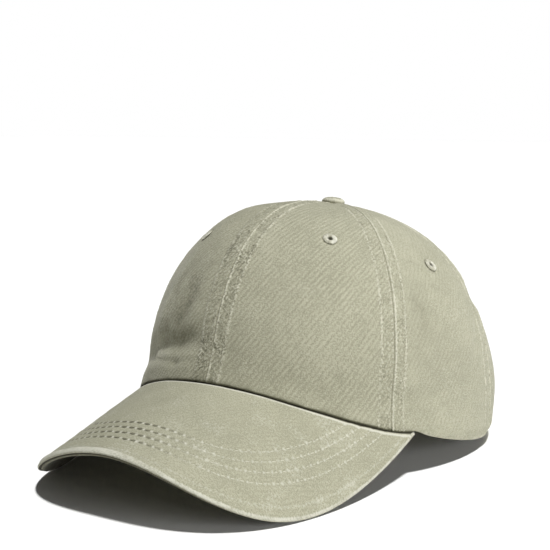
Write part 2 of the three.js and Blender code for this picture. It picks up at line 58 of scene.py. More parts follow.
# How full the wall is below its top, how square its shoulder, and how far the rim is tucked in
WALL_SHAPE = {
    "front": {"bulge": 2.3, "round": 2.5, "tuck": -0.025},
    "side": {"bulge": 2.4, "round": 2.1, "tuck": -0.023},
    "back": {"bulge": 1.7, "round": 1.55, "tuck": 0.03},
}
FRONT_SEAM = 56.0
BACK_SEAM = 104.0
# Each seam's degrees from the front, and the panel's width in degrees that its stitch rows narrow with
SEAMS = [(0, 56), (56, 50), (-56, 50), (104, 60), (-104, 60), (180, 76)]
FLAT_RIM_ANGLE = 148.0
RIM_SWEEP = 2.4
HEM_SHARE = 0.1

# Peak
PEAK_LENGTH = 69.5
PEAK_THICKNESS = 3.0
PEAK_PITCH = math.radians(12.6)
PEAK_BEND_RADIUS = 89.5
PEAK_BEND_TAPER = 0.27
PEAK_END_ANGLE = 64.2
PEAK_TUCK = 2.6
PEAK_SQUARE_ACROSS = 2.88
PEAK_SQUARE_ALONG = 1.94
PEAK_ROUNDED_SHARE = 0.07
SEAT_GAP = 0.4

# Arch, slit, bindings
ARCH_HALF_WIDTH = 45.5
ARCH_HEIGHT = 55.0
ARCH_SQUARE = 3.4
ARCH_BINDING_WIDTH = 9.6
SLIT_HALF_WIDTH = 16.5
SLIT_TOP = 98.0
SLIT_FOOT = ARCH_HEIGHT + 0.3
SLIT_SQUARE = 3.2
SLIT_FOOT_SHARE = 0.7
SLIT_SWAY = 4.2
SLIT_GAP_HALF_WIDTH = 5.6
SLIT_GAP_FOOT_HALF = 1.4
SLIT_GAP_OFFSET = 1.8
SLIT_BINDING_TOP = 3.4
SLIT_BINDING_WIDTH = 9.0
POCKET_SHARE = 0.5

# Strap and buckle
STRAP_HEIGHT = 19.0
STRAP_THICKNESS = 1.2
STRAP_CLEARANCE = 0.5
STRAP_TAIL = 26.0
STRAP_END_LAP = 8.0
BUCKLE_X = -13.0
BUCKLE_BAR = 2.2
BUCKLE_CENTRE_BAR = 1.8
BUCKLE_WINDOW = 6.3
BUCKLE_THICKNESS = 1.6
BUCKLE_FLOOR_GAP = 0.4
PIECE_GAP = 0.3

# Eyelets, button and sweatband. For the wearer's left, 1, and right, -1: degrees from the front,
# and share of the way up the wall
EYELETS = {
    "front": {1: (33.5, 0.593), -1: (32.0, 0.57)},
    "side": {1: (79.5, 0.537), -1: (79.0, 0.535)},
    "back": {1: (136.0, 0.515), -1: (136.0, 0.515)},
}
EYELET_RADIUS = 3.35
EYELET_BORE = 1.0
EYELET_HOLE = 2.1
BUTTON_HOLE_RADIUS = 3.4
BUTTON_RADIUS = 5.9
BUTTON_SKIRT = 0.3
BUTTON_HEIGHT = 3.8
BAND_HEIGHT = 29.0
BAND_THICKNESS = 1.0
BAND_DEPTH = -CLOTH_WALL - 0.8

# Sewing: bands beside each seam, and the rows on the peak by their distance from its edge
SEAM_BAND = 6.6
STITCH_RADIUS = 0.2
CROWN_STITCH = 3.2
PEAK_STITCH = 4.2
PEAK_ROWS = [13.3, 18.0, 22.6, 27.3]

# Dents: angle from the front in degrees, height as a share of the way up the wall, run in degrees
# from level, length and width as shares of the crown height, depth in millimetres
CLIMB_STRETCH = 1.3
Fold = collections.namedtuple("Fold", "angle height run length width depth")
FOLDS = [
    Fold(-27, 0.13, 4, 0.30, 0.08, 2.75),
    Fold(-30, 0.05, 4, 0.30, 0.06, -1.25),
    Fold(-44, 0.32, 80, 0.26, 0.14, 3.0),
    Fold(13, 0.33, 60, 0.26, 0.17, 1.5),
    Fold(109, 0.43, 10, 0.08, 0.06, 1.6),
    Fold(119, 0.45, 75, 0.20, 0.06, 1.5),
    Fold(152, 0.71, 20, 0.10, 0.05, 2.5),
    Fold(206, 0.55, 55, 0.18, 0.07, 4.5),
    Fold(236, 0.62, 30, 0.16, 0.08, 4.0),
    Fold(84, 0.18, 10, 0.30, 0.12, 1.75),
    Fold(-90, 0.40, 70, 0.24, 0.10, 2.5),
]
CREASES = [
    Fold(-15, 0.29, 82, 0.10, 0.05, 1.3),
    Fold(-12, 0.15, 40, 0.10, 0.05, 1.1),
    Fold(-28, 0.27, 84, 0.26, 0.035, -0.9),
    Fold(-21, 0.088, -4, 0.10, 0.022, -0.9),
    Fold(-15, 0.060, 0, 0.022, 0.016, 0.9),
    Fold(-50, 0.74, 0, 0.22, 0.12, -1.4),
    Fold(116, 0.11, 0, 0.35, 0.20, -3.8),
    Fold(66, 0.34, 84, 0.22, 0.07, 1.2),
    Fold(75, 0.27, 70, 0.10, 0.05, 0.8),
    Fold(-20, 0.078, -3, 0.16, 0.022, 0.9),
    Fold(-20, 0.105, -3, 0.15, 0.020, -0.5),
    Fold(-36, 0.24, 74, 0.20, 0.030, 0.8),
    Fold(-31, 0.22, 78, 0.16, 0.026, -0.5),
    Fold(118, 0.43, 20, 0.06, 0.030, 1.3),
    Fold(119, 0.60, -58, 0.13, 0.022, 1.0),
    Fold(121, 0.62, -58, 0.12, 0.020, -0.6),
    Fold(136, 0.45, 5, 0.06, 0.028, 1.5),
    Fold(136, 0.425, 5, 0.06, 0.024, -0.7),
    Fold(162, 0.73, 8, 0.10, 0.022, 1.0),
    Fold(199, 0.56, 62, 0.14, 0.024, 1.0),
    Fold(96, 0.30, 65, 0.12, 0.026, 0.6),
    Fold(70, 0.12, 12, 0.16, 0.030, 0.6),
]

SHARP_CREASES = [fold for fold in CREASES if fold.width < 0.1]

# Patches of painted shade where the crown's dents and its shaded front and sides lie, by the same measures;
# depth is its strength
PAINTED_SHADE_PATCHES = [
    Fold(-14, 0.30, 80, 0.18, 0.07, 0.10),
    Fold(-13, 0.15, 10, 0.12, 0.06, 0.12),
    Fold(-15, 0.44, 60, 0.13, 0.08, 0.12),
    Fold(-26, 0.32, 85, 0.25, 0.05, 0.10),
    Fold(30, 0.07, 0, 0.22, 0.05, 0.16),
    Fold(48, 0.29, 80, 0.12, 0.05, 0.12),
    Fold(66, 0.36, 80, 0.16, 0.08, 0.10),
    Fold(72, 0.24, 75, 0.12, 0.06, 0.10),
    Fold(109, 0.43, 10, 0.05, 0.04, 0.28),
    Fold(118, 0.44, 10, 0.05, 0.03, 0.16),
    Fold(128, 0.30, 60, 0.18, 0.06, 0.12),
    Fold(-20, 0.26, 84, 0.28, 0.16, 0.30),
]

RIM_FRONT_Y = -CROWN_HALF_LENGTH
PEAK_TIP_Y = RIM_FRONT_Y - PEAK_LENGTH


def smooth(x):
    x = np.clip(x, 0.0, 1.0)
    return x * x * (3 - 2 * x)


def bell(x):
    return np.exp(-np.square(x))


def lerp(a, b, share):
    return a + (b - a) * share


def unit(vectors):
    return vectors / np.linalg.norm(vectors, axis=-1, keepdims=True)


def wrapped(theta):
    return np.arctan2(np.sin(theta), np.cos(theta))


NOISE_CELLS = 32


def noise(points, seed):
    """Smooth noise from -1 to 1, with cells of one unit."""
    table = np.random.default_rng(seed).uniform(-1, 1, (NOISE_CELLS,) * 3)
    points = np.asarray(points, float)
    cell = np.floor(points).astype(int)
    way = smooth(points - cell)
    total = np.zeros(points.shape[:-1])
    for corner in np.ndindex(2, 2, 2):
        place = (cell + corner) % NOISE_CELLS
        weight = np.prod(np.where(corner, way, 1 - way), axis=-1)
        total += table[place[..., 0], place[..., 1], place[..., 2]] * weight
    return total


def stacked(*columns):
    return np.stack(np.broadcast_arrays(*columns), axis=-1)


def arc_lengths(line):
    """How far along a line of points each of them lies."""
    return np.concatenate([[0], np.cumsum(np.linalg.norm(np.diff(line, axis=0), axis=-1))])


def along_line(stops, lengths, line):
    """The values of a line's columns at some lengths along it."""
    return np.stack([np.interp(stops, lengths, column) for column in line.T], axis=-1)


# The wall of the crown

def around(theta, column):
    front = np.maximum(np.cos(theta), 0) ** 2
    back = np.maximum(-np.cos(theta), 0) ** 2
    side = WALL_SHAPE["side"][column]
    toward_front = (WALL_SHAPE["front"][column] - side) * front
    return side + toward_front + (WALL_SHAPE["back"][column] - side) * back


def board_drop(x, y):
    """How far the bent peak lies below the front rim's height."""
    forward = RIM_FRONT_Y - y
    radius = np.maximum(PEAK_BEND_RADIUS - PEAK_BEND_TAPER * forward, PEAK_BEND_RADIUS / 2)
    across = np.minimum(np.abs(x), 0.98 * radius)
    sag = radius - np.sqrt(radius * radius - across * across)
    return math.tan(PEAK_PITCH) * forward + sag / math.cos(PEAK_PITCH)


def board_normal(x, y):
    d = 0.01
    slope_x = (board_drop(x + d, y) - board_drop(x - d, y)) / (2 * d)
    slope_y = (board_drop(x, y + d) - board_drop(x, y - d)) / (2 * d)
    return unit(stacked(slope_x, slope_y, 1.0))


def rim_plan(theta):
    share = 1 - around(theta, "tuck")
    return CROWN_HALF_WIDTH * np.sin(theta) * share, -CROWN_HALF_LENGTH * np.cos(theta) * share


CORNER_X, CORNER_Y = (float(v) for v in rim_plan(math.radians(PEAK_END_ANGLE)))


def peak_outline(u):
    turn = u * np.pi / 2
    girth = PEAK_BEND_RADIUS * math.asin(CORNER_X / PEAK_BEND_RADIUS)
    arc = girth * np.sign(turn) * np.abs(np.sin(turn)) ** (2 / PEAK_SQUARE_ACROSS)
    share = np.abs(np.cos(turn)) ** (2 / PEAK_SQUARE_ALONG)
    return PEAK_BEND_RADIUS * np.sin(arc / PEAK_BEND_RADIUS), lerp(CORNER_Y, PEAK_TIP_Y, share)


def peak_plan(u, v):
    rim_x, rim_y = rim_plan(np.radians(np.clip(u, -0.97, 0.97) * PEAK_END_ANGLE))
    inward = 1 - PEAK_TUCK / np.hypot(rim_x, rim_y)
    outer_x, outer_y = peak_outline(u)
    return lerp(rim_x * inward, outer_x, v), lerp(rim_y * inward, outer_y, v)


def solid_peak_corner():
    """The lowest corner of the solid peak with the rim's front at height 0, and the rim's real height."""
    flat = 1 - PEAK_ROUNDED_SHARE
    shares = np.array([*np.linspace(0, flat, 6), lerp(flat, 1, 0.75), 1])
    u, v = np.meshgrid(np.linspace(-1, 1, 31), shares, indexing="ij")
    x, y = peak_plan(u, v)
    rounding = np.sqrt(1 - 0.75 * smooth((v - flat) / PEAK_ROUNDED_SHARE))
    normal = board_normal(x, y)
    face = stacked(x, y, -board_drop(x, y))
    sides = [face + normal * (PEAK_THICKNESS / 2 * (s * rounding - 1))[..., None] for s in (1, -1)]
    return np.min([side.reshape(-1, 3).min(0) for side in sides], axis=0)


PEAK_CORNER = solid_peak_corner()
FRONT_HEIGHT = -PEAK_CORNER[2]
SHIFT = np.array(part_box("peak")[0]) / MM - (PEAK_CORNER + [0, 0, FRONT_HEIGHT])


def board_height(x, y):
    return FRONT_HEIGHT - board_drop(x, y)


def rim_height(theta):
    angle = np.degrees(np.abs(wrapped(theta)))
    corner = board_height(CORNER_X, CORNER_Y) + SEAT_GAP
    way = np.clip((angle - PEAK_END_ANGLE) / (FLAT_RIM_ANGLE - PEAK_END_ANGLE), 0, 1)
    return np.where(angle > PEAK_END_ANGLE, corner * (1 - way) ** RIM_SWEEP,
                    board_height(*rim_plan(theta)) + SEAT_GAP)


def ring_share(theta, rise):
    upper = np.clip((rise - WAIST_SHARE) / (1 - WAIST_SHARE), 0, 1)
    lower = np.clip((WAIST_SHARE - rise) / WAIST_SHARE, 0, 1)
    wall = np.maximum(1 - upper ** around(theta, "bulge"), 0) ** (1 / around(theta, "round"))
    return wall - around(theta, "tuck") * lower ** 2


def wall_point(theta, t):
    """The smooth wall: theta from the front, t from the rim, 0, to the apex, 1."""
    rise = np.sin(t * np.pi / 2)
    share = ring_share(theta, rise)
    rim = rim_height(theta)
    upper = np.clip((rise - WAIST_SHARE) / (1 - WAIST_SHARE), 0, 1)
    return stacked(
        CROWN_HALF_WIDTH * np.sin(theta) * share,
        APEX_BEHIND_CENTRE * rise ** APEX_LEAN - CROWN_HALF_LENGTH * np.cos(theta) * share,
        rim + (CROWN_HEIGHT - rim) * rise + APEX_TILT * np.cos(theta) * share * upper ** 2,
    )


def wall_normal(theta, t):
    d = 0.002
    along = wall_point(theta + d, t) - wall_point(theta - d, t)
    up = wall_point(theta, t + d) - wall_point(theta, np.maximum(t - d, 0))
    normal = np.cross(along, up)
    normal[..., 2] *= smooth(t / HEM_SHARE)
    return unit(normal)


def fold_dent(theta, t, folds=FOLDS):
    total = np.zeros(np.broadcast(theta, t).shape)
    for fold in folds:
        away = wrapped(theta - math.radians(fold.angle))
        across = away * CROWN_HALF_WIDTH * math.cos(fold.height * math.pi / 2)
        up = (t - fold.height) * CROWN_HEIGHT * CLIMB_STRETCH
        run = math.radians(fold.run)
        along = across * math.cos(run) + up * math.sin(run)
        beside = up * math.cos(run) - across * math.sin(run)
        size = bell(along / (fold.length * CROWN_HEIGHT)) * bell(beside / (fold.width * CROWN_HEIGHT))
        total += fold.depth * size
    return total


def crown_point(theta, t, depth):
    """A point of the crown cloth, depth out from its outer face."""
    theta, t, depth = np.broadcast_arrays(*(np.asarray(v, float) for v in (theta, t, depth)))
    outer = wall_point(theta, t)
    hem = 1 - smooth(t / HEM_SHARE)
    reach = depth - fold_dent(theta, t) * (1 - hem) - fold_dent(theta, t, CREASES) * smooth(t / 0.03)
    point = outer + wall_normal(theta, t) * reach[..., None]
    on_peak = 1 - smooth((np.degrees(np.abs(wrapped(theta))) - PEAK_END_ANGLE) / 6)
    rise = board_height(point[..., 0], point[..., 1]) - board_height(outer[..., 0], outer[..., 1])
    point[..., 2] += rise * hem * on_peak
    return point


def ring_radius(theta, t):
    across = np.hypot(CROWN_HALF_WIDTH * np.sin(theta), CROWN_HALF_LENGTH * np.cos(theta))
    return across * ring_share(theta, np.sin(t * np.pi / 2))


TOP_ANGLES = np.linspace(0, np.pi, 91)
TOP_STEPS = np.linspace(0.5, 1, 2001)
TOP_CLIMBS = TOP_STEPS[(ring_radius(TOP_ANGLES[:, None], TOP_STEPS) > BUTTON_HOLE_RADIUS).sum(1) - 1]
BACK_CLIMBS = np.linspace(0, 1, 2001)
BACK_HEIGHTS = wall_point(np.pi, BACK_CLIMBS)[:, 2]


def top_climb(theta):
    """How far up the wall the button's hole starts."""
    return np.interp(np.abs(wrapped(theta)), TOP_ANGLES, TOP_CLIMBS)


def climb_at_height(z):
    return np.interp(z, BACK_HEIGHTS, BACK_CLIMBS)


def back_point(x, z, depth):
    """A point at the back, x across from the centre and z above the table."""
    t = climb_at_height(z)
    share = ring_share(np.pi, np.sin(t * np.pi / 2))
    theta = np.pi - np.arcsin(np.clip(x / (CROWN_HALF_WIDTH * share), -1, 1))
    return crown_point(theta, t, depth)


def arch_edge(turn, half_width, height):
    """Points of x and z along half of an arch, as all edges of the openings are given."""
    power = 2 / ARCH_SQUARE
    return stacked(half_width * np.cos(turn) ** power, height * np.sin(turn) ** power)


def slit_centre(rise):
    """The slit sways to one side and back between its foot, rise 0, and its top, 1."""
    return -SLIT_SWAY * np.cos(1.5 * np.pi * rise)


def slit_edge(rise, side):
    roundness = np.maximum(1 - rise ** SLIT_SQUARE, 0) ** (1 / SLIT_SQUARE)
    reach = SLIT_HALF_WIDTH * roundness * lerp(SLIT_FOOT_SHARE, 1, smooth(rise * 3))
    return stacked(slit_centre(rise) + side * reach, lerp(SLIT_FOOT, SLIT_TOP, rise))


def slit_gap_edge(rise, side):
    swell = SLIT_GAP_HALF_WIDTH * np.sin(np.pi * rise ** 0.8)
    reach = np.maximum(swell, SLIT_GAP_FOOT_HALF * (1 - rise))
    centre = slit_centre(rise) + SLIT_GAP_OFFSET * (1 - rise ** 4)
    return stacked(centre + side * reach, lerp(SLIT_FOOT, SLIT_TOP - SLIT_BINDING_TOP, rise))


SLIT_RISES = np.sin(np.linspace(0, np.pi / 2, 60))


# Materials

def srgb(*colour):
    """A colour seen on a screen, 0 to 255, as the linear values that a shader takes."""
    shares = [v / 255 for v in colour]
    return (*(v / 12.92 if v <= 0.04045 else ((v + 0.055) / 1.055) ** 2.4 for v in shares), 1.0)


class Shader:
    """Adds nodes to a material; an input that is a socket is linked, and any other is set."""

    def __init__(self, name):
        self.material = bpy.data.materials.new(name)
        self.material.use_nodes = True
        self.tree = self.material.node_tree
        self.surface = self.tree.nodes["Principled BSDF"]

    def put(self, node, inputs):
        for key, value in inputs.items():
            if isinstance(value, bpy.types.NodeSocket):
                self.tree.links.new(value, node.inputs[key])
            else:
                node.inputs[key].default_value = value

    def add(self, kind, inputs, **settings):
        node = self.tree.nodes.new(kind)
        for key, value in settings.items():
            setattr(node, key, value)
        self.put(node, inputs)
        return node

    def math(self, operation, a, b=0.0, c=0.0):
        return self.add("ShaderNodeMath", {0: a, 1: b, 2: c}, operation=operation).outputs[0]

    def total(self, *terms, start=0.0):
        """The sum of pairs of a value and its weight, on top of a start."""
        for value, weight in terms:
            start = self.math("MULTIPLY_ADD", value, weight, start)
        return start

    def attribute(self, name, output="Fac"):
        return self.add("ShaderNodeAttribute", {}, attribute_name=name).outputs[output]

    def noise(self, vector, scale, detail=2.0, roughness=0.5):
        inputs = {"Vector": vector, "Scale": scale, "Detail": detail, "Roughness": roughness}
        return self.add("ShaderNodeTexNoise", inputs).outputs["Fac"]

    def mix(self, factor, a, b):
        node = self.add("ShaderNodeMix", {}, data_type="RGBA")
        self.put(node, {0: factor, 6: a, 7: b})
        return node.outputs[2]

    def spread(self, value, low, high):
        inputs = {"Value": value, "From Min": low, "From Max": high}
        return self.add("ShaderNodeMapRange", inputs, interpolation_type="SMOOTHSTEP").outputs[0]

    def bump(self, height, distance, strength):
        inputs = {"Height": height, "Distance": distance * MM, "Strength": strength}
        return self.add("ShaderNodeBump", inputs).outputs[0]

    def finish(self, **inputs):
        self.put(self.surface, {key.replace("_", " "): value for key, value in inputs.items()})
        return self.material


TWILL_PITCH = 2.2
TWILL_ANGLE = math.radians(57)
STREAK_LENGTH = 5.0
FLECK_WIDTH = 0.75
FLECK_LENGTH = 1.25
THREAD_PITCH = 0.8
DYE_CONTRAST = 0.46


def washed_cloth(name, light, dark, worn, painted_shade, twill=1.0):
    """Washed cotton: mottled dye, diagonal twill lines, pale worn ridges, and painted shade that darkens the
    hollows.
    """
    light, dark, worn, painted_shade = (srgb(*colour) for colour in (light, dark, worn, painted_shade))
    shader = Shader(name)
    cloth = shader.attribute("cloth", "Vector")
    x, y, z = shader.add("ShaderNodeSeparateXYZ", {"Vector": cloth}).outputs
    sine, cosine = math.sin(TWILL_ANGLE), math.cos(TWILL_ANGLE)
    beside = shader.total((y, -cosine), (x, sine))
    along = shader.total((y, sine), (x, cosine))
    phase = shader.total((shader.noise(cloth, 0.22), 1.2), start=beside)

    def slanted(width, length):
        across = shader.math("MULTIPLY", beside, 1 / width)
        ahead = shader.math("MULTIPLY", along, 1 / length)
        return shader.add("ShaderNodeCombineXYZ", {0: across, 1: ahead, 2: z}).outputs[0]

    def lines(pitch):
        return shader.math("SINE", shader.math("MULTIPLY", phase, 2 * math.pi / pitch))

    ribs, threads = lines(TWILL_PITCH), lines(THREAD_PITCH)
    cloud = shader.noise(cloth, 0.035, 3.0)
    patch = shader.noise(cloth, 0.16, 3.0)
    streak = shader.noise(slanted(TWILL_PITCH, STREAK_LENGTH), 1.0, 2.0)
    grain = shader.noise(cloth, 0.85, 3.0, 0.6)
    lint = shader.noise(cloth, 1.7, 2.0, 0.55)
    broken = shader.spread(shader.total((patch, 0.7), (lint, 0.6)), 0.48, 0.82)
    rib_tone = shader.math("MULTIPLY", ribs, shader.math("MULTIPLY", broken, 0.30 * twill))
    mottle = ((cloud, 0.6), (patch, 0.5), (streak, 0.5 * twill), (grain, 0.8), (lint, 2.2))
    tone = shader.total(*mottle, (rib_tone, 1.0))
    middle = 0.5 * sum(weight for _, weight in mottle)
    dye = shader.mix(shader.spread(tone, middle - DYE_CONTRAST, middle + DYE_CONTRAST), dark, light)

    speck = shader.noise(slanted(FLECK_WIDTH, FLECK_LENGTH), 1.0, 1.0)
    gathered = shader.math("MULTIPLY", shader.math("SUBTRACT", speck, 0.5), shader.attribute("gathered"))
    rub = shader.total((shader.attribute("worn"), 1.0), (grain, 1.2), (gathered, 1.9), start=-0.6)
    # Painted shade: the painted_shade attribute, broken up by grain and flecks, darkens the cloth toward the
    # painted_shade colour
    hollow = shader.total((shader.attribute("painted_shade"), 1.0), (grain, 0.8), (gathered, -1.7), start=-0.4)
    worn_and_lit = shader.mix(shader.spread(rub, 0.15, 1.0), dye, worn)
    height = shader.total((grain, 1.1), (ribs, 0.19 * twill), (gathered, 0.9), (threads, 0.08 * twill),
                          (streak, 0.5 * twill), (lint, 0.8))
    return shader.finish(
        Base_Color=shader.mix(shader.spread(hollow, 0.1, 1.1), worn_and_lit, painted_shade),
        Roughness=shader.total((grain, 0.12), start=0.84), Normal=shader.bump(height, 0.3, 0.9),
        Specular_IOR_Level=0.2, Sheen_Weight=0.12, Sheen_Roughness=0.55)


def aged_brass():
    shader = Shader("aged_brass")
    place = shader.add("ShaderNodeTexCoord", {}).outputs["Object"]
    stain = shader.noise(place, 260.0, 4.0, 0.6)
    scratch = shader.noise(place, 1500.0, 2.0, 0.5)
    colour = shader.mix(shader.spread(stain, 0.35, 0.7), srgb(118, 108, 82), srgb(168, 156, 122))
    return shader.finish(Base_Color=colour, Roughness=shader.total((stain, 0.35), start=0.2),
                         Metallic=1.0, Normal=shader.bump(scratch, 0.05, 0.6))


# Light and dark dye, worn places, the colour of painted shade, and how strong the twill lines are
TWILL = washed_cloth("washed_twill", (178, 176, 154), (147, 146, 125), (203, 201, 182), (92, 91, 71))
SIDE_TWILL = washed_cloth(
    "washed_side", (178, 176, 154), (149, 148, 127), (203, 201, 182), (92, 91, 71), 0.6)
PEAK_CLOTH = washed_cloth(
    "washed_peak", (170, 168, 146), (145, 144, 123), (198, 197, 182), (80, 78, 60), 0.4)
BINDING = washed_cloth(
    "washed_binding", (176, 174, 152), (149, 148, 127), (203, 201, 184), (92, 91, 71), 0.5)
THREAD = washed_cloth(
    "sewing_thread", (176, 174, 152), (149, 147, 125), (206, 204, 187), (92, 91, 71), 0.0)
EYELET_THREAD = washed_cloth(
    "eyelet_thread", (204, 202, 184), (164, 162, 140), (222, 221, 206), (100, 98, 80), 0.0)
BRASS = aged_brass()


# Meshes

def add_object(name, data):
    thing = bpy.data.objects.new(name, data)
    bpy.context.scene.collection.objects.link(thing)
    return thing


def add_mesh(name, points, faces, material, node=None, worn=0.0, painted_shade=0.0, cloth=None,
             gathered=0.0):
    """One piece of the cap from points in millimetres, with what its material reads at each point."""
    points = np.asarray(points, float).reshape(-1, 3)
    mesh = bpy.data.meshes.new(name)
    mesh.from_pydata(((points + SHIFT) * MM).tolist(), [], [list(face) for face in faces])
    cloth = points if cloth is None else cloth
    flow = mesh.attributes.new("cloth", "FLOAT_VECTOR", "POINT")
    flow.data.foreach_set("vector", np.asarray(cloth, np.float32).ravel())
    for key, values in (("worn", worn), ("painted_shade", painted_shade), ("gathered", gathered)):
        values = np.broadcast_to(np.asarray(values, np.float32).reshape(-1), len(points))
        mesh.attributes.new(key, "FLOAT", "POINT").data.foreach_set("value", values)
    mesh.materials.append(material)
    mesh.shade_smooth()
    mesh.update()
    piece = add_object(name, mesh)
    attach(piece, "root")
    if node:
        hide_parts(node)


def grid_faces(rows, columns, wrap_rows=False, wrap_columns=False):
    """Quads over a grid of points, turned outward where rows run up and columns run anticlockwise."""
    row = np.arange(rows if wrap_rows else rows - 1)[:, None]
    column = np.arange(columns if wrap_columns else columns - 1)[None, :]
    above, beside = (row + 1) % rows * columns, (column + 1) % columns
    row = row * columns
    corners = np.broadcast_arrays(row + column, row + beside, above + beside, above + column)
    return np.stack([corner.ravel() for corner in corners], axis=-1)


def tube_faces(rows, columns):
    """Quads round a body of rings, one ring to a row, and a face on each end."""
    last = (rows - 1) * columns
    return [*grid_faces(rows, columns, wrap_columns=True).tolist(),
            list(range(columns))[::-1], list(range(last, last + columns))]


def shell_faces(faces, count):
    """Outer faces, the same faces turned over for the inner points, and a wall round their borders."""
    edges = np.concatenate([faces[:, [k, (k + 1) % 4]] for k in range(4)])
    _, index, uses = np.unique(np.sort(edges, axis=1), axis=0, return_inverse=True, return_counts=True)
    border = edges[uses[index.ravel()] == 1]
    walls = np.concatenate([border[:, ::-1], border + count], axis=1)
    return np.concatenate([faces, faces[:, ::-1] + count, walls])


# Crown panels

PANEL_ROWS = 190
PANEL_COLUMNS = 101
PANEL_SAMPLES = 61
PANEL_SPANS = {"front": (0, FRONT_SEAM), "side": (FRONT_SEAM, BACK_SEAM), "back": (BACK_SEAM, 180)}
WALL_LENGTH = 150.0
SEAM_HALF_GAP = 0.06
STITCH_LINE = SEAM_BAND - 1.3


def seam_dense(count):
    """Shares from 0 to 1 that lie close together at both ends."""
    x = np.linspace(-1, 1, count)
    return 0.5 + 0.5 * np.sign(x) * (1 - (1 - np.abs(x)) ** 1.6)


def panel_grid(start, end):
    """Angle, climb, distance from each seam and the length up the middle, for a panel's grid."""
    lips = np.array([0, 0.25, 0.55, 0.9, 1.3, 1.8, 2.4, 3.1]) / WALL_LENGTH
    shares = np.concatenate([lips, np.linspace(4.0 / WALL_LENGTH, 1, PANEL_ROWS - len(lips))])[:, None]
    plain = np.radians(np.linspace(start, end, PANEL_SAMPLES))
    points = wall_point(plain, shares * top_climb(plain))
    arcs = np.array([arc_lengths(row) for row in points])
    widths = arcs[:, -1:]
    along = SEAM_HALF_GAP + seam_dense(PANEL_COLUMNS) * (widths - 2 * SEAM_HALF_GAP)
    theta = np.array([np.interp(a, arc, plain) for a, arc in zip(along, arcs)])
    lengths = arc_lengths(points[:, PANEL_SAMPLES // 2])[:, None]
    return theta, shares * top_climb(theta), along, widths - along, lengths + 0 * theta


def band_scale(width):
    """Seam bands narrow with the panel towards the button."""
    return np.minimum(1, 0.30 * width / SEAM_BAND)


def seam_relief(distance, width, up, key, ridge):
    """Height of the cloth beside a seam, how worn it is, its painted shade, and how gathered."""
    d = distance / band_scale(width)
    pucker = 0.7 * noise(stacked(up / 3.6 + d / 9, d / 7, key), 11)
    pucker += 0.7 * noise(stacked(up / 1.5 + d / 5, d / 2.2, key + 5), 12)
    held = smooth(d / 1.0) * (1 - smooth((d - SEAM_BAND + 0.6) / 3.5))
    inside = 1 - smooth((d - SEAM_BAND + 0.3) / 1.0)
    dimple = 0.7 + 0.3 * np.cos(2 * np.pi * up / CROWN_STITCH)
    stitch_line = bell((d - STITCH_LINE) / 0.45)
    edge = bell((d - SEAM_BAND) / 0.55)
    waver = 0.75 + 0.35 * noise(stacked(up / 14, key, ridge), 13)
    fleck = noise(stacked((up + 0.9 * d) / 0.85, (d - 0.3 * up) / 1.7, key + 9), 14)
    relief = (0.20 * inside + 0.12 * edge - 0.26 * bell(d / 0.30) + ridge * bell((d - 0.75) / 0.45)
              - 0.14 * stitch_line * dimple + (0.16 * pucker + 0.08 * fleck) * held)
    worn = (2.6 * ridge * bell((d - 0.85) / 0.6) + 0.62 * edge
            + (0.20 * np.maximum(pucker, 0) + 0.35 * np.maximum(fleck, 0)) * held) * waver
    # Painted shade in the seam's groove, along the stitch line and in the hollows of puckers and flecks
    painted_shade = (0.16 * bell(d / 0.34) * (1.2 - 0.9 * dimple) + 0.12 * stitch_line
            + (0.20 * np.maximum(-pucker, 0) + 0.35 * np.maximum(-fleck, 0)) * held)
    gathered = np.maximum(held, inside * 0.6) * (0.75 + 0.5 * noise(stacked(up / 9, key, 4.0), 15))
    return relief, worn, painted_shade, gathered


def openings_at(x, z):
    """Below 0 where the arch or the slit cuts the back panels away under their bindings."""
    depth = ARCH_BINDING_WIDTH * POCKET_SHARE
    arch = (np.abs(x) / (ARCH_HALF_WIDTH - depth)) ** ARCH_SQUARE
    arch += (np.maximum(z, 0) / (ARCH_HEIGHT - depth)) ** ARCH_SQUARE
    left, right = (lerp(slit_edge(SLIT_RISES, side), slit_gap_edge(SLIT_RISES, side), POCKET_SHARE)
                   for side in (1, -1))
    slit = np.maximum(x - np.interp(z, left[:, 1], left[:, 0]), np.interp(z, right[:, 1], right[:, 0]) - x)
    slit = np.where((z > ARCH_HEIGHT - 2 * depth) & (z < left[-1, 1]), slit / SLIT_HALF_WIDTH, 1.0)
    return np.minimum(arch - 1, slit)


def snapped(theta, t, inside):
    """Moves the last grid points inside a hole on to its edge, and says which points are kept."""
    value = inside(theta, t)
    new_theta, new_t = theta.copy(), t.copy()
    kept = value >= 0
    for axis, step in ((0, 1), (0, -1), (1, 1), (1, -1)):
        near_value = np.roll(value, step, axis)
        share = np.clip(near_value / np.where(near_value - value == 0, 1, near_value - value), 0, 1)
        take = (near_value >= 0) & ~kept
        take[(slice(None),) * axis + (0 if step == 1 else -1,)] = False
        new_theta[take] = lerp(np.roll(theta, step, axis), theta, share)[take]
        new_t[take] = lerp(np.roll(t, step, axis), t, share)[take]
        kept |= take
    return new_theta, new_t, kept


def side_name(side):
    return "left" if side > 0 else "right"


def eyelet_centre(row, side):
    angle, height = EYELETS[row][side]
    return side * math.radians(angle), height


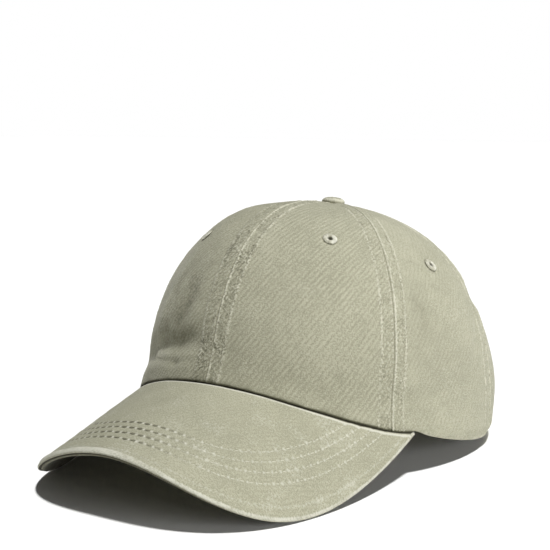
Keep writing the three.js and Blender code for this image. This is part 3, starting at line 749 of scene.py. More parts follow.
def crown_panel(row, side):
    low, high = PANEL_SPANS[row]
    start, end = (low, high) if side > 0 else (-high, -low)
    theta, t, from_start, from_end, up = panel_grid(start, end)
    centre = wall_point(*eyelet_centre(row, side))

    def inside(angle, climb):
        point = wall_point(angle, climb)
        value = np.linalg.norm(point - centre, axis=-1) - EYELET_HOLE
        if row == "back":
            value = np.minimum(value, 10 * openings_at(point[..., 0], point[..., 2]))
        return value

    theta, t, kept = snapped(theta, t, inside)
    width = from_start + from_end
    wall = wall_point(theta, t)
    mottle = noise(wall / 8.5, 2)
    relief = 0.30 * noise(wall / 24, 1) + 0.10 * mottle + 0.04 * noise(wall / 3.4, 3)
    worn = 0.10 + 0.16 * np.maximum(mottle, 0)
    # Painted shade where the mottled relief dips
    painted_shade = 0.10 * np.maximum(-mottle, 0)
    # Patches of painted shade
    shade_patches = fold_dent(theta, t, PAINTED_SHADE_PATCHES)
    gathered = 0.12 + 0.12 * noise(wall / 12, 8) + 1.1 * shade_patches
    for distance, angle in ((from_start, start), (from_end, end)):
        ridge = 0.30 if angle == start else 0.10
        lift, pale, dark, flecks = seam_relief(distance, width, up, abs(angle) / 10 + side, ridge)
        gathered = np.maximum(gathered, flecks * (1.0 if angle in (0, FRONT_SEAM) else 0.6))
        # Painted shade along each seam, strongest beside the centre front seam
        painted_shade += (0.22 if angle == 0 else 0.06) * flecks + dark
        relief += lift
        worn += pale
    # Painted shade in the crease hollows and the shade patches; crease ridges are paler from wear
    creases = fold_dent(theta, t, SHARP_CREASES)
    blotch = np.maximum(1 + 0.5 * noise(wall / 5, 7) + 0.4 * noise(wall / 2.3, 9), 0)
    worn += 0.30 * np.maximum(-creases, 0)
    painted_shade += 0.18 * np.maximum(creases, 0) + blotch * shade_patches
    on_peak = 1 - smooth((np.degrees(np.abs(wrapped(theta))) - PEAK_END_ANGLE + 1) / 2)
    relief -= lerp(0.6, 0.35, on_peak) * bell(up / 0.8)
    worn += lerp(0.55, 0.1, on_peak) * bell((up - 0.4) / 1.0) * (0.6 + 0.4 * noise(wall / 5, 4))
    # Painted shade: the crown's lower edge above the peak is darkened like a shadowed gap
    painted_shade += on_peak * (1.6 * bell(up / 0.5) + (0.42 + 0.3 * noise(wall / 3, 6)) * bell(up / 2.6))
    from_eyelet = np.linalg.norm(wall - centre, axis=-1)
    relief -= 0.30 * bell((from_eyelet - EYELET_RADIUS) / 1.1) - 0.15 * bell((from_eyelet - 6.2) / 1.4)
    # Painted shade in a ring round the eyelet
    painted_shade += 0.12 * bell((from_eyelet - EYELET_RADIUS - 0.3) / 0.6)

    outer = crown_point(theta, t, relief)
    inner = crown_point(theta, t, -CLOTH_WALL + 0.5 * bell(up / 0.8) + 0.08 * noise(wall / 6, 5))
    across = np.where(from_start < from_end, from_start - width / 2, width / 2 - from_end)
    cloth = stacked(across, up, 4.0 * abs(start) + 13 * side)
    faces = grid_faces(*theta.shape)
    used, faces = np.unique(faces[kept.ravel()[faces].all(axis=1)], return_inverse=True)
    outer, inner, worn, painted_shade, gathered, cloth = (
        values.reshape(theta.size, -1)[used] for values in (outer, inner, worn, painted_shade, gathered, cloth))
    label = f"{row}_{side_name(side)}"
    add_mesh(f"cloth_{label}", np.stack([outer, inner]), shell_faces(faces.reshape(-1, 4), len(outer)),
             SIDE_TWILL if row == "side" else TWILL, f"panel_{label}",
             np.stack([worn, worn * 0.3]), np.stack([painted_shade, 0 * painted_shade]), np.stack([cloth] * 2),
             np.stack([gathered] * 2))


# Stitches

CAPSULE_RINGS = [(-1.0, 0.35), (-0.86, 0.8), (-0.4, 1.0), (0.4, 1.0), (0.86, 0.8), (1.0, 0.35)]
CAPSULE_SIDES = 6
CAPSULE_POINTS = len(CAPSULE_RINGS) * CAPSULE_SIDES


def add_stitches(name, centres, runs, normals, length, radius, worn=0.5, painted_shade=0.0):
    """A row of thread stitches, each a short rounded body that dips into the cloth at both ends."""
    runs, normals = unit(runs), unit(normals)
    sides = unit(np.cross(normals, runs))
    points = []
    for along, thick in CAPSULE_RINGS:
        axis = centres + runs * (along * length / 2) - normals * (radius * 1.1 * along ** 2)
        for turn in np.arange(CAPSULE_SIDES) * 2 * np.pi / CAPSULE_SIDES:
            points.append(axis + (sides * math.cos(turn) + normals * math.sin(turn)) * thick * radius)
    one = tube_faces(len(CAPSULE_RINGS), CAPSULE_SIDES)
    firsts = range(0, len(centres) * CAPSULE_POINTS, CAPSULE_POINTS)
    faces = [[first + i for i in face] for first in firsts for face in one]
    add_mesh(name, np.stack(points, axis=1), faces, THREAD, worn=worn, painted_shade=painted_shade)


def crown_stitches(angle, span):
    """A row of stitches on each side of a seam whose panels are about span degrees wide."""
    seam = math.radians(angle)
    climbs = np.linspace(0.012, top_climb(seam) * 0.985, 1500)
    lengths = arc_lengths(wall_point(seam, climbs))
    t = np.interp(np.arange(CROWN_STITCH / 2, lengths[-1] - 1, CROWN_STITCH), lengths, climbs)
    metric = np.linalg.norm(wall_point(seam + 0.01, t) - wall_point(seam - 0.01, t), axis=-1) / 0.02
    offset = STITCH_LINE * band_scale(metric * math.radians(span)) / metric
    theta, t = np.concatenate([seam + offset, seam - offset]), np.tile(t, 2)
    if angle == 180:
        above_slit = wall_point(theta, t)[:, 2] > SLIT_TOP + 1
        theta, t = theta[above_slit], t[above_slit]
    runs = crown_point(theta, t + 0.004, 0) - crown_point(theta, t - 0.004, 0)
    add_stitches(f"seam_stitches_{abs(angle):.0f}_{side_name(angle)}", crown_point(theta, t, 0.02),
                 runs, wall_normal(theta, t), CROWN_STITCH * 0.7, STITCH_RADIUS, worn=0.35)


# Peak

PEAK_COLUMNS = 321
PEAK_TOP_ROWS = 140
PEAK_UNDER_ROWS = 34
PEAK_BORDER = 1.6
PEAK_STITCH_LENGTH = 0.62 * PEAK_STITCH
PEAK_STITCH_RADIUS = 0.28
PEAK_STITCH_SINK = 0.42


def developed(x, y):
    """The bent peak laid flat: lengths on it are as on the cloth."""
    turn = np.arcsin(np.clip(x / PEAK_BEND_RADIUS, -1, 1))
    return stacked(PEAK_BEND_RADIUS * turn, y / math.cos(PEAK_PITCH))


def undeveloped(flat):
    turn = flat[..., 0] / PEAK_BEND_RADIUS
    return PEAK_BEND_RADIUS * np.sin(turn), flat[..., 1] * math.cos(PEAK_PITCH)


def even_places(count):
    """Places along the peak's outline that lie equally far apart."""
    u = np.linspace(-1, 1, 4001) ** 3
    lengths = arc_lengths(developed(*peak_outline(u)))
    return np.interp(np.linspace(0, lengths[-1], count), lengths, u)


OUTLINE = developed(*peak_outline(even_places(601)))


def distance_to(line, flat):
    """Shortest distance from each point to a line of points."""
    best = np.full(flat.shape[:-1], 1e9)
    for start, edge in zip(line[:-1], np.diff(line, axis=0)):
        share = np.clip((flat - start) @ edge / (edge @ edge), 0, 1)
        best = np.minimum(best, np.linalg.norm(flat - start - share[..., None] * edge, axis=-1))
    return best


def rim_distance(x, y):
    """How far a point of the peak lies in front of the crown's rim."""
    rim_x, rim_y = rim_plan(np.arctan2(x / CROWN_HALF_WIDTH, -y / CROWN_HALF_LENGTH))
    return np.hypot(x, y) - np.hypot(rim_x, rim_y)


def peak_row(inset, phase):
    """Stitch places on the flat peak, inset from its outline, and their directions."""
    edge = np.gradient(OUTLINE, axis=0)
    line = OUTLINE + unit(stacked(-edge[:, 1], edge[:, 0])) * inset
    lengths = arc_lengths(line)
    stops = np.arange(phase, lengths[-1], PEAK_STITCH)
    flat = along_line(stops, lengths, line)
    ahead = along_line(stops + 0.5, lengths, line)
    far = rim_distance(*undeveloped(flat)) > 1.5
    return flat[far], unit(ahead - flat)[far]


def peak_face(x, y, depth):
    return stacked(x, y, board_height(x, y)) + board_normal(x, y) * np.asarray(depth)[..., None]


PEAK_STITCHES = [peak_row(inset, 1.0 + 1.3 * k) for k, inset in enumerate(PEAK_ROWS)]


def peak_lit_side(across):
    """Share of painted light across the peak: 0 on the wearer's right, where stitches, border and groove are
    painted in shade, rising toward the wearer's left, where they are painted lit.
    """
    return smooth((across + 8) / 50)


def peak_relief(x, y):
    """Height, wear and painted shade of the peak's upper cloth."""
    flat = developed(x, y)
    inset = distance_to(OUTLINE, flat)
    from_rim = rim_distance(x, y)
    place = stacked(flat[..., 0], flat[..., 1], 0)
    mottle = noise(place / 7, 22)
    relief = 0.14 * noise(place / 22, 21) + 0.07 * mottle + 0.03 * noise(place / 3, 23)
    worn = 0.14 + 0.22 * np.maximum(mottle, 0)
    # Painted shade where the mottled relief dips
    painted_shade = 0.10 * np.maximum(-mottle, 0)
    quilted = smooth((inset - PEAK_ROWS[0] + 4) / 3) * (1 - smooth((inset - PEAK_ROWS[-1] - 1) / 3))
    # Painted shade along the sunk stitch rows
    for row in PEAK_ROWS:
        relief -= 0.22 * bell((inset - row) / 0.8)
        painted_shade += 0.05 * bell((inset - row) / 0.8)
    for spots, runs in PEAK_STITCHES:
        for spot, run in zip(spots, runs):
            away = flat - spot
            near = (np.abs(away) < 4).all(axis=-1)
            along = away[near] @ run
            beside = away[near] @ np.array([-run[1], run[0]])
            pit = np.exp(-(along / 1.35) ** 4) * bell(beside / 0.62)
            knot = bell((along - PEAK_STITCH / 2) / 0.6) * bell(beside / 0.7)
            # Painted light and shade by side: stitch pits are painted dark on the wearer's right and less so
            # toward the left, with pale knots between
            worn_and_lit = peak_lit_side(spot[0])
            relief[near] += lerp(0.20, 0.08, worn_and_lit) * knot - lerp(0.38, 0.16, worn_and_lit) * pit
            painted_shade[near] += lerp(1.5, 0.15, worn_and_lit) * pit
            worn[near] += lerp(1.0, 0.70, worn_and_lit) * knot
    relief += 0.10 * quilted * noise(place / 3.1, 24)
    # Painted light and shade by side: on the wearer's right the pale border is wider and the groove is
    # painted darker
    peak_lit_share = peak_lit_side(flat[..., 0])
    border = 1 - smooth((inset - lerp(2.8, 0.5, peak_lit_share)) / 1.2)
    worn += border * (0.55 + 0.35 * noise(place / 3, 25)) + 0.25 * bell((inset - 4.6) / 0.8)
    relief += lerp(0.30, 0.12, peak_lit_share) * bell((inset - 1.8) / 1.2)
    groove = lerp(1.0, 0.2, peak_lit_share) * bell((inset - 4.0) / 0.6)
    # Painted shade in the slot under the crown's edge and in the groove, with a pale line along the lip below
    # the slot
    lip = bell((from_rim - 0.75) / 0.36)
    slot = 1 - smooth((from_rim + 0.4) / 0.6)
    relief += 0.12 * lip - 0.40 * slot - 0.16 * groove
    worn += 1.1 * lip
    painted_shade += 2.0 * slot + 0.35 * groove
    return relief, worn, painted_shade


# The peak's edge from the upper face round to the underside: inset from the outline, and depth
PEAK_EDGE = [(1.0, -0.06), (0.55, -0.2), (0.2, -0.48), (0.04, -0.82), (0.06, -1.1), (0.3, -1.32),
             (0.8, -1.44), (1.35, -1.52), (1.35, -1.74), (1.0, -1.84), (0.82, -2.06), (0.78, -2.4),
             (0.9, -2.7), (1.2, -2.92), (1.7, -3.0)]


def peak_cloth():
    """The peak as one closed body: top face, a two-layer edge with its groove, underside."""
    u = even_places(PEAK_COLUMNS)
    reach = np.linalg.norm(stacked(*peak_outline(u)) - stacked(*peak_plan(u, 0 * u)), axis=-1)
    widest = 1 - np.minimum(PEAK_BORDER / reach, 0.4)

    v = np.linspace(0, 1, PEAK_TOP_ROWS)[:, None] ** 0.9 * widest
    x, y = peak_plan(u, v)
    relief, worn, painted_shade = peak_relief(x, y)
    top = peak_face(x, y, relief * smooth((v * reach - 0.2) / 1.2))

    inset, depth = np.array(PEAK_EDGE).T[..., None]
    x, y = peak_plan(u, 1 - np.minimum(inset / reach, 0.4))
    ripple = noise(stacked(x / 5, y / 5, depth), 31)
    edge = peak_face(x, y, depth + 0.05 * ripple)
    # Paler toward the edge's top corner, worn and painted lit; painted shade in the groove and on the lower
    # layer
    worn_and_lit = np.select([depth > -0.6, depth > -1.3], [0.85, 0.4], 0.0)
    edge_painted_shade = 1.3 * bell((depth + 1.6) / 0.3) + 0.75 * (depth < -1.3)

    x, y = peak_plan(u, np.linspace(0.975, 0, PEAK_UNDER_ROWS)[:, None] * widest)
    under = peak_face(x, y, 0.10 * noise(stacked(x / 12, y / 12, 3.0), 32) - PEAK_THICKNESS)

    points = np.concatenate([top, edge, under])
    points[..., 2] = np.maximum(points[..., 2], 0.02)
    worn = np.concatenate([worn, worn_and_lit * (0.85 + 0.3 * ripple), 0 * x])
    # The underside is painted in shade
    painted_shade = np.concatenate([painted_shade, edge_painted_shade + 0 * ripple, 0.85 + 0 * x])
    wrap = 1.4 * np.concatenate([0 * v, depth + 0 * ripple, 0 * x - PEAK_THICKNESS])
    flat = developed(points[..., 0], points[..., 1])
    cloth = stacked(flat[..., 0], flat[..., 1] + wrap, 400.0)
    points, worn, painted_shade, cloth = (values.swapaxes(0, 1) for values in (points, worn, painted_shade, cloth))
    add_mesh("cloth_peak", points, tube_faces(*points.shape[:2]), PEAK_CLOTH, "peak",
             worn, painted_shade, cloth)


def peak_stitches():
    for k, (spots, runs) in enumerate(PEAK_STITCHES):
        x, y = undeveloped(spots)
        centres = peak_face(x, y, -PEAK_STITCH_SINK)
        ahead = peak_face(*undeveloped(spots + runs * 0.5), -PEAK_STITCH_SINK)
        # Painted light and shade: the thread is painted pale toward the wearer's left and dark on the
        # wearer's right
        worn_and_lit = np.repeat(peak_lit_side(spots[:, 0]), CAPSULE_POINTS)
        add_stitches(f"peak_stitches_{k + 1}", centres, ahead - centres, board_normal(x, y),
                     PEAK_STITCH_LENGTH, PEAK_STITCH_RADIUS, 0.7 * worn_and_lit, 0.8 * (1 - worn_and_lit))


# Bindings of the arch and the slit

LEAF = 0.75
LEAF_GAP = 0.12
TAPE_STITCH = 2.7
TAPE_STITCH_LENGTH = 1.9
TAPE_STITCH_RADIUS = 0.27
TAPE_STITCH_LINE = 1.7
TAPE_STITCH_SINK = 0.12


def channel_profile(width, pocket):
    """Half-closed fold of tape round a cut edge: share across and depth, outer leaf first."""
    top = LEAF_GAP + LEAF
    pocket_floor = -CLOTH_WALL - LEAF_GAP
    under = pocket_floor - LEAF
    middle, half = (top + under) / 2, (top - under) / 2
    lip = 0.35 / width
    return np.array([
        (0.0, LEAF_GAP), (0.0, top * 0.6), (lip, top * 0.95), (3 * lip, top * 1.05),
        *((s, top) for s in np.linspace(0.14, 0.86, 13)),
        *((0.94 + 0.06 * math.sin(a), middle + half * math.cos(a)) for a in np.linspace(0.35, 2.8, 8)),
        (0.8, under), (0.5, under), (0.2, under), (0.06, under + 0.1), (0.05, pocket_floor),
        (0.3, pocket_floor), (pocket, pocket_floor), (pocket + 0.05, middle),
        (pocket, LEAF_GAP), (0.3, LEAF_GAP)])


def binding(name, node, outer, inner, width, seed, ridge):
    """Tape folded over a cut edge, gathered a little along its length."""
    lengths = arc_lengths(outer)
    share, depth = channel_profile(width, POCKET_SHARE + 0.04).T
    along = lengths[:, None] + 0 * share
    x, z = (lerp(outer[:, k, None], inner[:, k, None], share) for k in (0, 1))
    across = share * width
    outside = depth > 0.4
    gather = noise(stacked(along / 3.4, across / 9, seed), seed)
    gather += 0.5 * noise(stacked(along / 1.7, across / 5, seed + 3), seed + 1)
    stitch = bell((across - TAPE_STITCH_LINE) / 0.6)
    swell = 0.2 * bell((across - 0.7 * width) / 2.5)
    points = back_point(x, z, depth + np.where(outside, ridge * gather - 0.28 * stitch + swell, 0))
    points[..., 2] = np.maximum(points[..., 2], 0.0)
    edges = bell(share / 0.09) + bell((share - 0.97) / 0.10)
    worn = np.where(outside | (share > 0.9), 0.15 + 0.8 * edges + 0.5 * np.maximum(gather, 0), 0.1)
    # Painted shade in the hollows of the gathers, along the stitch line, inside the fold and in the gap at
    # its lip
    painted_shade = np.where(outside, 0.45 * np.maximum(-gather, 0) + 0.3 * stitch, 0.2)
    painted_shade += 0.7 * bell((depth - LEAF_GAP) / 0.1) * bell(share / 0.05)
    cloth = stacked(along, across + depth * 0.5, 700.0 + seed)
    add_mesh(name, points, tube_faces(*x.shape), BINDING, node, worn, painted_shade, cloth)

    stops = np.arange(1.6, lengths[-1] - 1, TAPE_STITCH)

    def row(shift, share, depth):
        edge, opposite = (along_line(stops + shift, lengths, line) for line in (outer, inner))
        spots = lerp(edge, opposite, share)
        return back_point(spots[:, 0], spots[:, 1], depth)

    place = TAPE_STITCH_LINE / width, LEAF_GAP + LEAF - TAPE_STITCH_SINK
    centres = row(0.0, *place)
    normals = row(0.0, 0.0, 1.0) - row(0.0, 0.0, 0.0)
    add_stitches(name + "_stitches", centres, row(0.4, *place) - centres, normals,
                 TAPE_STITCH_LENGTH, TAPE_STITCH_RADIUS)


def arch_binding():
    turns = np.linspace(0, np.pi / 2, 110)

    def mirrored(inset):
        edge = arch_edge(turns, ARCH_HALF_WIDTH - inset, ARCH_HEIGHT - inset)
        return np.concatenate([edge, edge[-2::-1] * [-1, 1]])

    binding("tape_arch", "arch_binding", mirrored(0), mirrored(ARCH_BINDING_WIDTH),
            ARCH_BINDING_WIDTH, 41, 0.16)


def slit_binding():
    rises = np.sin(np.linspace(0, np.pi / 2, 90))
    outer, inner = (np.concatenate([edge(rises, 1), edge(rises, -1)[-2::-1]])
                    for edge in (slit_edge, slit_gap_edge))
    binding("tape_slit", "slit_binding", outer, inner, SLIT_BINDING_WIDTH, 51, 0.14)


# Strap, tab and slide

STRAP_FOOT = BUCKLE_FLOOR_GAP + BUCKLE_BAR + STRAP_CLEARANCE
WINDOW_FOOT = STRAP_FOOT - STRAP_CLEARANCE
WINDOW_TOP = STRAP_FOOT + STRAP_HEIGHT + STRAP_CLEARANCE
BELT_TOP = WINDOW_TOP + BUCKLE_BAR
NEAR_BAR = (BUCKLE_X, BUCKLE_X - BUCKLE_BAR)
CENTRE_BAR = (NEAR_BAR[1] - BUCKLE_WINDOW, NEAR_BAR[1] - BUCKLE_WINDOW - BUCKLE_CENTRE_BAR)
FAR_BAR = (CENTRE_BAR[1] - BUCKLE_WINDOW, CENTRE_BAR[1] - BUCKLE_WINDOW - BUCKLE_BAR)
LEG_INNER_X = ARCH_HALF_WIDTH - ARCH_BINDING_WIDTH
HALF_STRAP = STRAP_THICKNESS / 2
BEHIND_BINDING = -CLOTH_WALL - 0.4 - PIECE_GAP - HALF_STRAP
UNDER_BAR = -PIECE_GAP - HALF_STRAP
OVER_BAR = BUCKLE_THICKNESS + PIECE_GAP + HALF_STRAP
STRAP_HEM = 3.2 / STRAP_HEIGHT
BUCKLE_CORNER = 2.2
STRAP_STITCH = 2.8
STRAP_STITCH_LENGTH = 2.0
STRAP_STITCH_RADIUS = 0.22
STRAP_STITCH_SINK = 0.08


def belt_point(x, z, depth):
    """The straight belt that strap, tab and slide share, from the table up to the slide's top."""
    return lerp(back_point(x, 0.0, depth), back_point(x, BELT_TOP, depth), (z / BELT_TOP)[..., None])


def rounded_curve(line, steps):
    """A curve through the points of a line, with no loops at its short steps."""
    line = np.array(line, float)
    ends = np.concatenate([[2 * line[0] - line[1]], line, [2 * line[-1] - line[-2]]])
    found = []
    for share in np.linspace(0, len(line) - 1, steps):
        k = min(int(share), len(line) - 2)
        way = share - k
        p = ends[k:k + 4]
        before, gap, after = np.maximum(np.linalg.norm(np.diff(p, axis=0), axis=-1) ** 0.5, 1e-4)
        run = (p[2] - p[1]) / gap
        start = (p[1] - p[0]) / before - (p[2] - p[0]) / (before + gap) + run
        stop = run - (p[3] - p[1]) / (gap + after) + (p[3] - p[2]) / after
        a, b = way * way, way ** 3
        found.append(p[1] * (2 * b - 3 * a + 1) + start * gap * (b - 2 * a + way)
                     + p[2] * (3 * a - 2 * b) + stop * gap * (b - a))
    return np.array(found)


def webbing(name, node, line, seed):
    """A strip of folded cloth along a line of x and depth, with hems along both edges."""
    centre = rounded_curve(line, len(line) * 14)
    run = unit(np.gradient(centre, axis=0))
    side = stacked(-run[:, 1], run[:, 0])
    lengths = arc_lengths(centre)
    heights = np.linspace(0, 1, 27)
    from_edge = np.minimum(heights, 1 - heights)
    swell = 1 + 0.16 * bell((from_edge - STRAP_HEM * 0.45) / (STRAP_HEM * 0.4))
    swell -= 0.12 * bell((from_edge - STRAP_HEM) / (STRAP_HEM * 0.18))
    swell *= np.sqrt(np.clip(from_edge / 0.02, 0.12, 1))
    height = np.concatenate([heights, heights[::-1]])
    thick = np.concatenate([swell, -swell[::-1]]) * HALF_STRAP
    along = lengths[:, None] + 0 * height
    ripple = 0.07 * noise(stacked(along / 4, height * 4, seed), seed)
    reach = thick + np.sign(thick) * np.minimum(ripple, 0.05)
    x, depth = (centre[:, k, None] + side[:, k, None] * reach for k in (0, 1))
    z = STRAP_FOOT + STRAP_HEIGHT * height + 0 * x
    edge = np.minimum(height, 1 - height)
    worn = 0.15 + 0.9 * bell(edge / 0.03) + 0.25 * bell((edge - STRAP_HEM * 0.6) / 0.05)
    worn = worn + 3 * np.maximum(ripple, 0)
    # Painted shade along the hem lines and in the ripples' hollows
    painted_shade = 0.4 * bell((edge - STRAP_HEM) / 0.02) + 3 * np.maximum(-ripple, 0)
    add_mesh(name, belt_point(x, z, depth), tube_faces(*x.shape), BINDING, node,
             worn, painted_shade, stacked(along, z, 900.0 + seed))

    stops = np.arange(1.5, lengths[-1] - 1.2, STRAP_STITCH)
    places, ahead = (along_line(stops + shift, lengths, centre) for shift in (0, 0.4))
    outs = along_line(stops, lengths, side) * (HALF_STRAP - STRAP_STITCH_SINK)
    rows = []
    for share in (STRAP_HEM, 1 - STRAP_HEM):
        z = np.full(len(stops), STRAP_FOOT + share * STRAP_HEIGHT)
        for lift in (outs, -outs):
            here, there, out = (belt_point(spots[:, 0], z, spots[:, 1])
                                for spots in (places + lift, ahead + lift, places + 2 * lift))
            rows.append((here, there - here, out - here))
    add_stitches(name + "_stitches", *(np.concatenate(part) for part in zip(*rows)),
                 STRAP_STITCH_LENGTH, STRAP_STITCH_RADIUS)


def strap():
    tail = UNDER_BAR - STRAP_THICKNESS - PIECE_GAP
    turn_x = CENTRE_BAR[1] - PIECE_GAP - HALF_STRAP
    webbing("webbing_strap", "strap", [
        (LEG_INNER_X + STRAP_END_LAP, BEHIND_BINDING - 0.4), (LEG_INNER_X - 1.5, BEHIND_BINDING - 0.4),
        (LEG_INNER_X - 7, UNDER_BAR - 0.3), (LEG_INNER_X - 18, UNDER_BAR), (5, UNDER_BAR),
        (NEAR_BAR[0] + 1, UNDER_BAR), (NEAR_BAR[1] - 0.3, UNDER_BAR),
        (CENTRE_BAR[0] + 1.6, OVER_BAR - 0.9), (CENTRE_BAR[0], OVER_BAR),
        (sum(CENTRE_BAR) / 2, OVER_BAR), (turn_x + 0.4, OVER_BAR - 0.3),
        (turn_x - 0.3, BUCKLE_THICKNESS / 2), (turn_x - 0.2, UNDER_BAR), (turn_x + 1.4, tail),
        (CENTRE_BAR[0], tail), (NEAR_BAR[1], tail), (NEAR_BAR[0] + STRAP_TAIL - 10, tail)], 61)


def buckle_tab():
    turn_x = FAR_BAR[0] + PIECE_GAP + HALF_STRAP
    webbing("webbing_tab", "buckle_tab", [
        (-LEG_INNER_X - STRAP_END_LAP, BEHIND_BINDING - 0.4), (-LEG_INNER_X + 1, BEHIND_BINDING - 0.4),
        (FAR_BAR[1], UNDER_BAR), (turn_x - 0.6, UNDER_BAR + 0.1), (turn_x + 0.1, BUCKLE_THICKNESS / 2),
        (turn_x - 0.6, OVER_BAR - 0.1), (FAR_BAR[1], OVER_BAR), (-LEG_INNER_X + 0.4, OVER_BAR - 0.9)], 71)


def rod(line, outs, half_width):
    """Rings of a rounded metal bar along a line in the belt's x and z."""
    turns = np.arange(14) * 2 * np.pi / 14
    across, up = (np.sign(part) * np.abs(part) ** 0.8 for part in (np.cos(turns), np.sin(turns)))
    x, z = (line[:, k, None] + outs[:, k, None] * across * half_width for k in (0, 1))
    return belt_point(x, z, BUCKLE_THICKNESS / 2 * (1 + up))


def slide():
    """The rounded metal frame and its centre bar."""
    half, corner = BUCKLE_BAR / 2, BUCKLE_CORNER
    left, right = FAR_BAR[1] + half, NEAR_BAR[0] - half
    foot, top = WINDOW_FOOT - half, WINDOW_TOP + half
    turning = np.array([(right - corner, foot + corner), (right - corner, top - corner),
                        (left + corner, top - corner), (left + corner, foot + corner)])
    angles, centres = [], []
    for k in range(4):
        straight = lerp(turning[k], turning[(k + 1) % 4], np.linspace(0, 1, 10)[1:-1, None])
        centres += [*[turning[k]] * 9, *straight]
        angles += [*np.linspace(90 * k - 90, 90 * k, 9), *[90 * k] * len(straight)]
    outs = stacked(np.cos(np.radians(angles)), np.sin(np.radians(angles)))
    ring = rod(centres + corner * outs, outs, half)
    heights = np.linspace(foot, top, 24)
    bar = rod(stacked(sum(CENTRE_BAR) / 2, heights), stacked(1.0, 0 * heights), BUCKLE_CENTRE_BAR / 2)
    points = np.concatenate([ring, bar])
    ring_faces = grid_faces(*ring.shape[:2], wrap_rows=True, wrap_columns=True).tolist()
    bar_faces = [[i + ring.size // 3 for i in face] for face in tube_faces(*bar.shape[:2])]
    add_mesh("slide_metal", points, ring_faces + bar_faces, BRASS, "buckle")


# Eyelets, button, sweatband

EYELET_THREADS = 26


def turned_body(profile, turns, ripple, place, axes):
    """Rings of a rippled profile of radius and height: round the z axis, and in place round the last axis."""
    radius, height = np.array(profile).T
    wave = ripple(turns[:, None], radius)
    reach = radius + wave * 0.25
    body = stacked(reach * np.cos(turns)[:, None], reach * np.sin(turns)[:, None], height + wave)
    return body, place + body @ np.array(axes)


def eyelet(row, side):
    """An air hole's ring of thread, wound radially round the hole and raised on the cloth."""
    theta, t = eyelet_centre(row, side)
    place = crown_point(theta, t, 0)
    d = 0.01
    across = crown_point(theta + d, t, 0) - crown_point(theta - d, t, 0)
    up = crown_point(theta, t + d, 0) - crown_point(theta, t - d, 0)
    axis = unit(np.cross(across, up))
    across = unit(across)
    under = -CLOTH_WALL - 0.65
    middle = (EYELET_BORE + EYELET_RADIUS) / 2
    half = (EYELET_RADIUS - EYELET_BORE) / 2
    profile = [
        *((middle - half * math.cos(a), 0.1 + 0.65 * math.sin(a)) for a in np.linspace(0, math.pi, 13)),
        (EYELET_RADIUS - 0.25, -0.1), (EYELET_HOLE - 0.3, -0.15), (EYELET_HOLE - 0.3, under),
        *((middle + half * 0.9 * math.cos(a), under - 0.6 * math.sin(a))
          for a in np.linspace(0, math.pi, 9))]
    turns = np.linspace(0, 2 * np.pi, EYELET_THREADS * 6, endpoint=False)

    def ripple(turn, radius):
        lumps = noise(stacked(2.2 * np.cos(turn), 2.2 * np.sin(turn), radius / 3 + 9 * t), 81)
        winding = 0.12 * np.abs(np.sin(turn * EYELET_THREADS / 2))
        return winding + 0.28 * lumps * smooth((radius - EYELET_BORE) / half)

    body, points = turned_body(profile, turns, ripple, place, (across, np.cross(axis, across), axis))
    radius = np.hypot(body[..., 0], body[..., 1])
    groove = 1 - np.abs(np.sin(turns * EYELET_THREADS / 2))[:, None]
    patchy = noise(stacked(body[..., 0] / 1.3, body[..., 1] / 1.3, 7.0 * t), 82)
    worn = 0.55 - 0.4 * groove + 0.8 * patchy
    # Painted shade between the threads and at the hole's edge
    painted_shade = 0.25 * groove + 0.4 * bell((radius - EYELET_BORE) / 0.3) + 0.4 * np.maximum(-patchy - 0.2, 0)
    cloth = stacked(radius * 3, turns[:, None] * 4, 5.0 * t)
    faces = grid_faces(*radius.shape, wrap_rows=True, wrap_columns=True)
    label = f"eyelet_{row}_{side_name(side)}"
    add_mesh(f"thread_{label}", points, faces, EYELET_THREAD, label, worn, painted_shade, cloth)


def top_button():
    """The cloth-covered button: a flattened dome with small tucks round its edge."""
    axis = unit(np.array([0, APEX_TILT / CROWN_HALF_LENGTH, 1.0]))
    side = np.array([1.0, 0, 0])
    profile = [
        (0.02, BUTTON_HEIGHT),
        *((BUTTON_RADIUS * math.sin(a) ** 0.85, 1.3 + (BUTTON_HEIGHT - 1.3) * math.cos(a))
          for a in np.linspace(0.12, math.pi / 2, 16)),
        (BUTTON_RADIUS * 0.985, 1.0), (BUTTON_RADIUS * 0.95, 0.5), (BUTTON_RADIUS * 0.88, 0.0),
        (BUTTON_RADIUS * 0.6, BUTTON_SKIRT), (2.4, BUTTON_SKIRT), (2.4, -2.5), (6.0, -2.6),
        (6.1, -3.0), (5.8, -3.6), (0.02, -3.7)]
    turns = np.linspace(0, 2 * np.pi, 120, endpoint=False)

    def ripple(turn, radius):
        across, up = np.cos(turn), np.sin(turn)
        tuck = noise(stacked(4.4 * across, 4.4 * up, radius / 9), 91) * smooth((radius - 2) / 3)
        return 0.16 * tuck + 0.05 * noise(stacked(radius * across, radius * up, 2.0), 92)

    body, points = (part[:, ::-1].swapaxes(0, 1) for part in turned_body(
        profile, turns, ripple, wall_point(0.0, 1.0), (side, np.cross(axis, side), axis)))
    radius, height = np.hypot(body[..., 0], body[..., 1]), body[..., 2]
    worn = 0.25 + 0.6 * bell((radius - BUTTON_RADIUS * 0.94) / 0.7) * (height > 0.8)
    cloth = stacked(body[..., 0], body[..., 1], 1200.0)
    # Painted shade, most on the button's underside
    add_mesh("cloth_button", points, tube_faces(*radius.shape), TWILL, "top_button",
             worn, 0.10 + 0.3 * (height < 0.4), cloth)


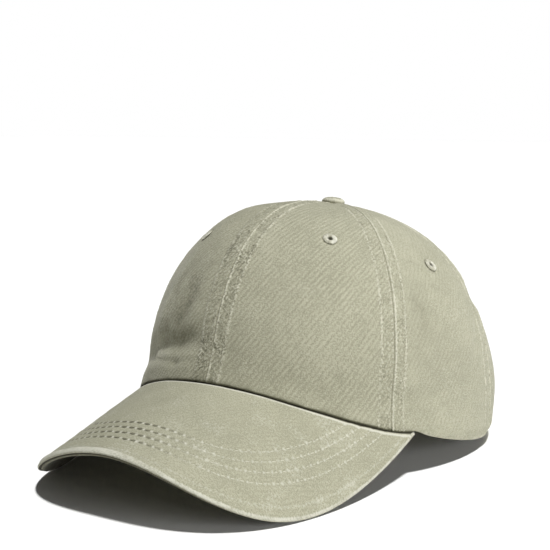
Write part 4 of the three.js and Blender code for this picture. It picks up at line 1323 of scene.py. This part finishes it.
def sweatband():
    """The band inside the rim, with a folded upper edge."""
    reach = math.pi - math.asin((ARCH_HALF_WIDTH + 2) / CROWN_HALF_WIDTH)
    theta = np.linspace(-reach, reach, 361)
    heights = np.linspace(1, BAND_HEIGHT, 34)[:, None]
    climb = np.arcsin(heights / (CROWN_HEIGHT - rim_height(theta))) * 2 / np.pi
    along = theta * 88 + 0 * climb
    wave = noise(stacked(along / 13, heights / 24, 2.0), 95)
    hem = 0.25 * bell((heights - BAND_HEIGHT + 1.8) / 1.4)
    groove = bell((heights - BAND_HEIGHT + 4.2) / 0.6)
    outer = crown_point(theta, climb, BAND_DEPTH)
    inner = crown_point(theta, climb, BAND_DEPTH - BAND_THICKNESS - hem + 0.15 * groove - 0.2 * wave)
    worn = np.stack([0 * climb, 0.1 + 2.0 * hem + 0.2 * np.maximum(wave, 0)])
    # Painted shade on the face toward the crown wall, in the groove under the fold and in the waves' hollows
    painted_shade = np.stack([0.2 + 0 * climb, 0.6 * groove + 0.2 * np.maximum(-wave, 0)])
    add_mesh("cloth_sweatband", np.stack([outer, inner]), shell_faces(grid_faces(*climb.shape), climb.size),
             BINDING, "sweatband", worn, painted_shade, np.stack([stacked(along, heights, 1500.0)] * 2))


for row_name in EYELETS:
    for wearer_side in (1, -1):
        crown_panel(row_name, wearer_side)
        eyelet(row_name, wearer_side)
for seam_angle, panel_span in SEAMS:
    crown_stitches(seam_angle, panel_span)
peak_cloth()
peak_stitches()
arch_binding()
slit_binding()
strap()
buckle_tab()
slide()
top_button()
sweatband()


# Camera, floor and light

VIEW_AZIMUTH = math.radians(32.22)
VIEW_ELEVATION = math.radians(10.02)
VIEW_DISTANCE = 0.5805
VIEW_CENTRE = Vector((0, 0.01302, 0.060))
VIEW_LENS = 76.9
AIM_RIGHT = -0.0099
AIM_UP = 0.0229
FLOOR_REACH = 6.0
ROOM_LIGHT = 0.035

right = Vector((math.cos(VIEW_AZIMUTH), math.sin(VIEW_AZIMUTH), 0))
back = Vector((math.sin(VIEW_AZIMUTH) * math.cos(VIEW_ELEVATION),
               -math.cos(VIEW_AZIMUTH) * math.cos(VIEW_ELEVATION), math.sin(VIEW_ELEVATION)))
up = back.cross(right)


def aim(thing, place, target):
    turn = (target - place).normalized().to_track_quat("-Z", "Y")
    thing.matrix_world = Matrix.Translation(place) @ turn.to_matrix().to_4x4()


def camera():
    lens = bpy.data.cameras.new("camera")
    lens.lens = VIEW_LENS
    lens.clip_start = 0.05
    thing = add_object("camera", lens)
    aim(thing, VIEW_CENTRE + back * VIEW_DISTANCE, VIEW_CENTRE + right * AIM_RIGHT + up * AIM_UP)
    bpy.context.scene.camera = thing


def floor():
    shader = Shader("pale_floor")
    place = shader.add("ShaderNodeTexCoord", {}).outputs["Object"]
    colour = shader.mix(shader.noise(place, 40.0), srgb(252, 252, 251), srgb(254, 254, 253))
    mesh = bpy.data.meshes.new("floor")
    corners = [(x * FLOOR_REACH, y * FLOOR_REACH, 0) for x, y in ((-1, -1), (1, -1), (1, 1), (-1, 1))]
    mesh.from_pydata(corners, [], [(0, 1, 2, 3)])
    mesh.materials.append(shader.finish(Base_Color=colour, Roughness=0.9))
    add_object("floor", mesh)


def sun(name, direction, spread, strength):
    lamp = bpy.data.lights.new(name, "SUN")
    lamp.angle = math.radians(spread)
    lamp.energy = strength
    aim(add_object(name, lamp), VIEW_CENTRE + direction.normalized(), VIEW_CENTRE)


def lighting():
    """A soft light from overhead, a broad one from the right, and a dim room whose walls look white."""
    world = bpy.data.worlds.new("studio")
    bpy.context.scene.world = world
    world.use_nodes = True
    tree = world.node_tree
    background = tree.nodes["Background"]
    background.inputs["Color"].default_value = (1, 1, 1, 1)
    seen = tree.nodes.new("ShaderNodeLightPath").outputs["Is Camera Ray"]
    strength = tree.nodes.new("ShaderNodeMix")
    strength.inputs[2].default_value = ROOM_LIGHT
    strength.inputs[3].default_value = 1.0
    tree.links.new(seen, strength.inputs[0])
    tree.links.new(strength.outputs[0], background.inputs["Strength"])
    sun("overhead", right * 0.17 + up * 0.96 + back * 0.36, 6, 3.35)
    sun("side", right * 0.83 + up * 0.03 + back * 0.56, 36, 1.9)


camera()
floor()
lighting()
bpy.context.scene.view_settings.view_transform = "Standard"
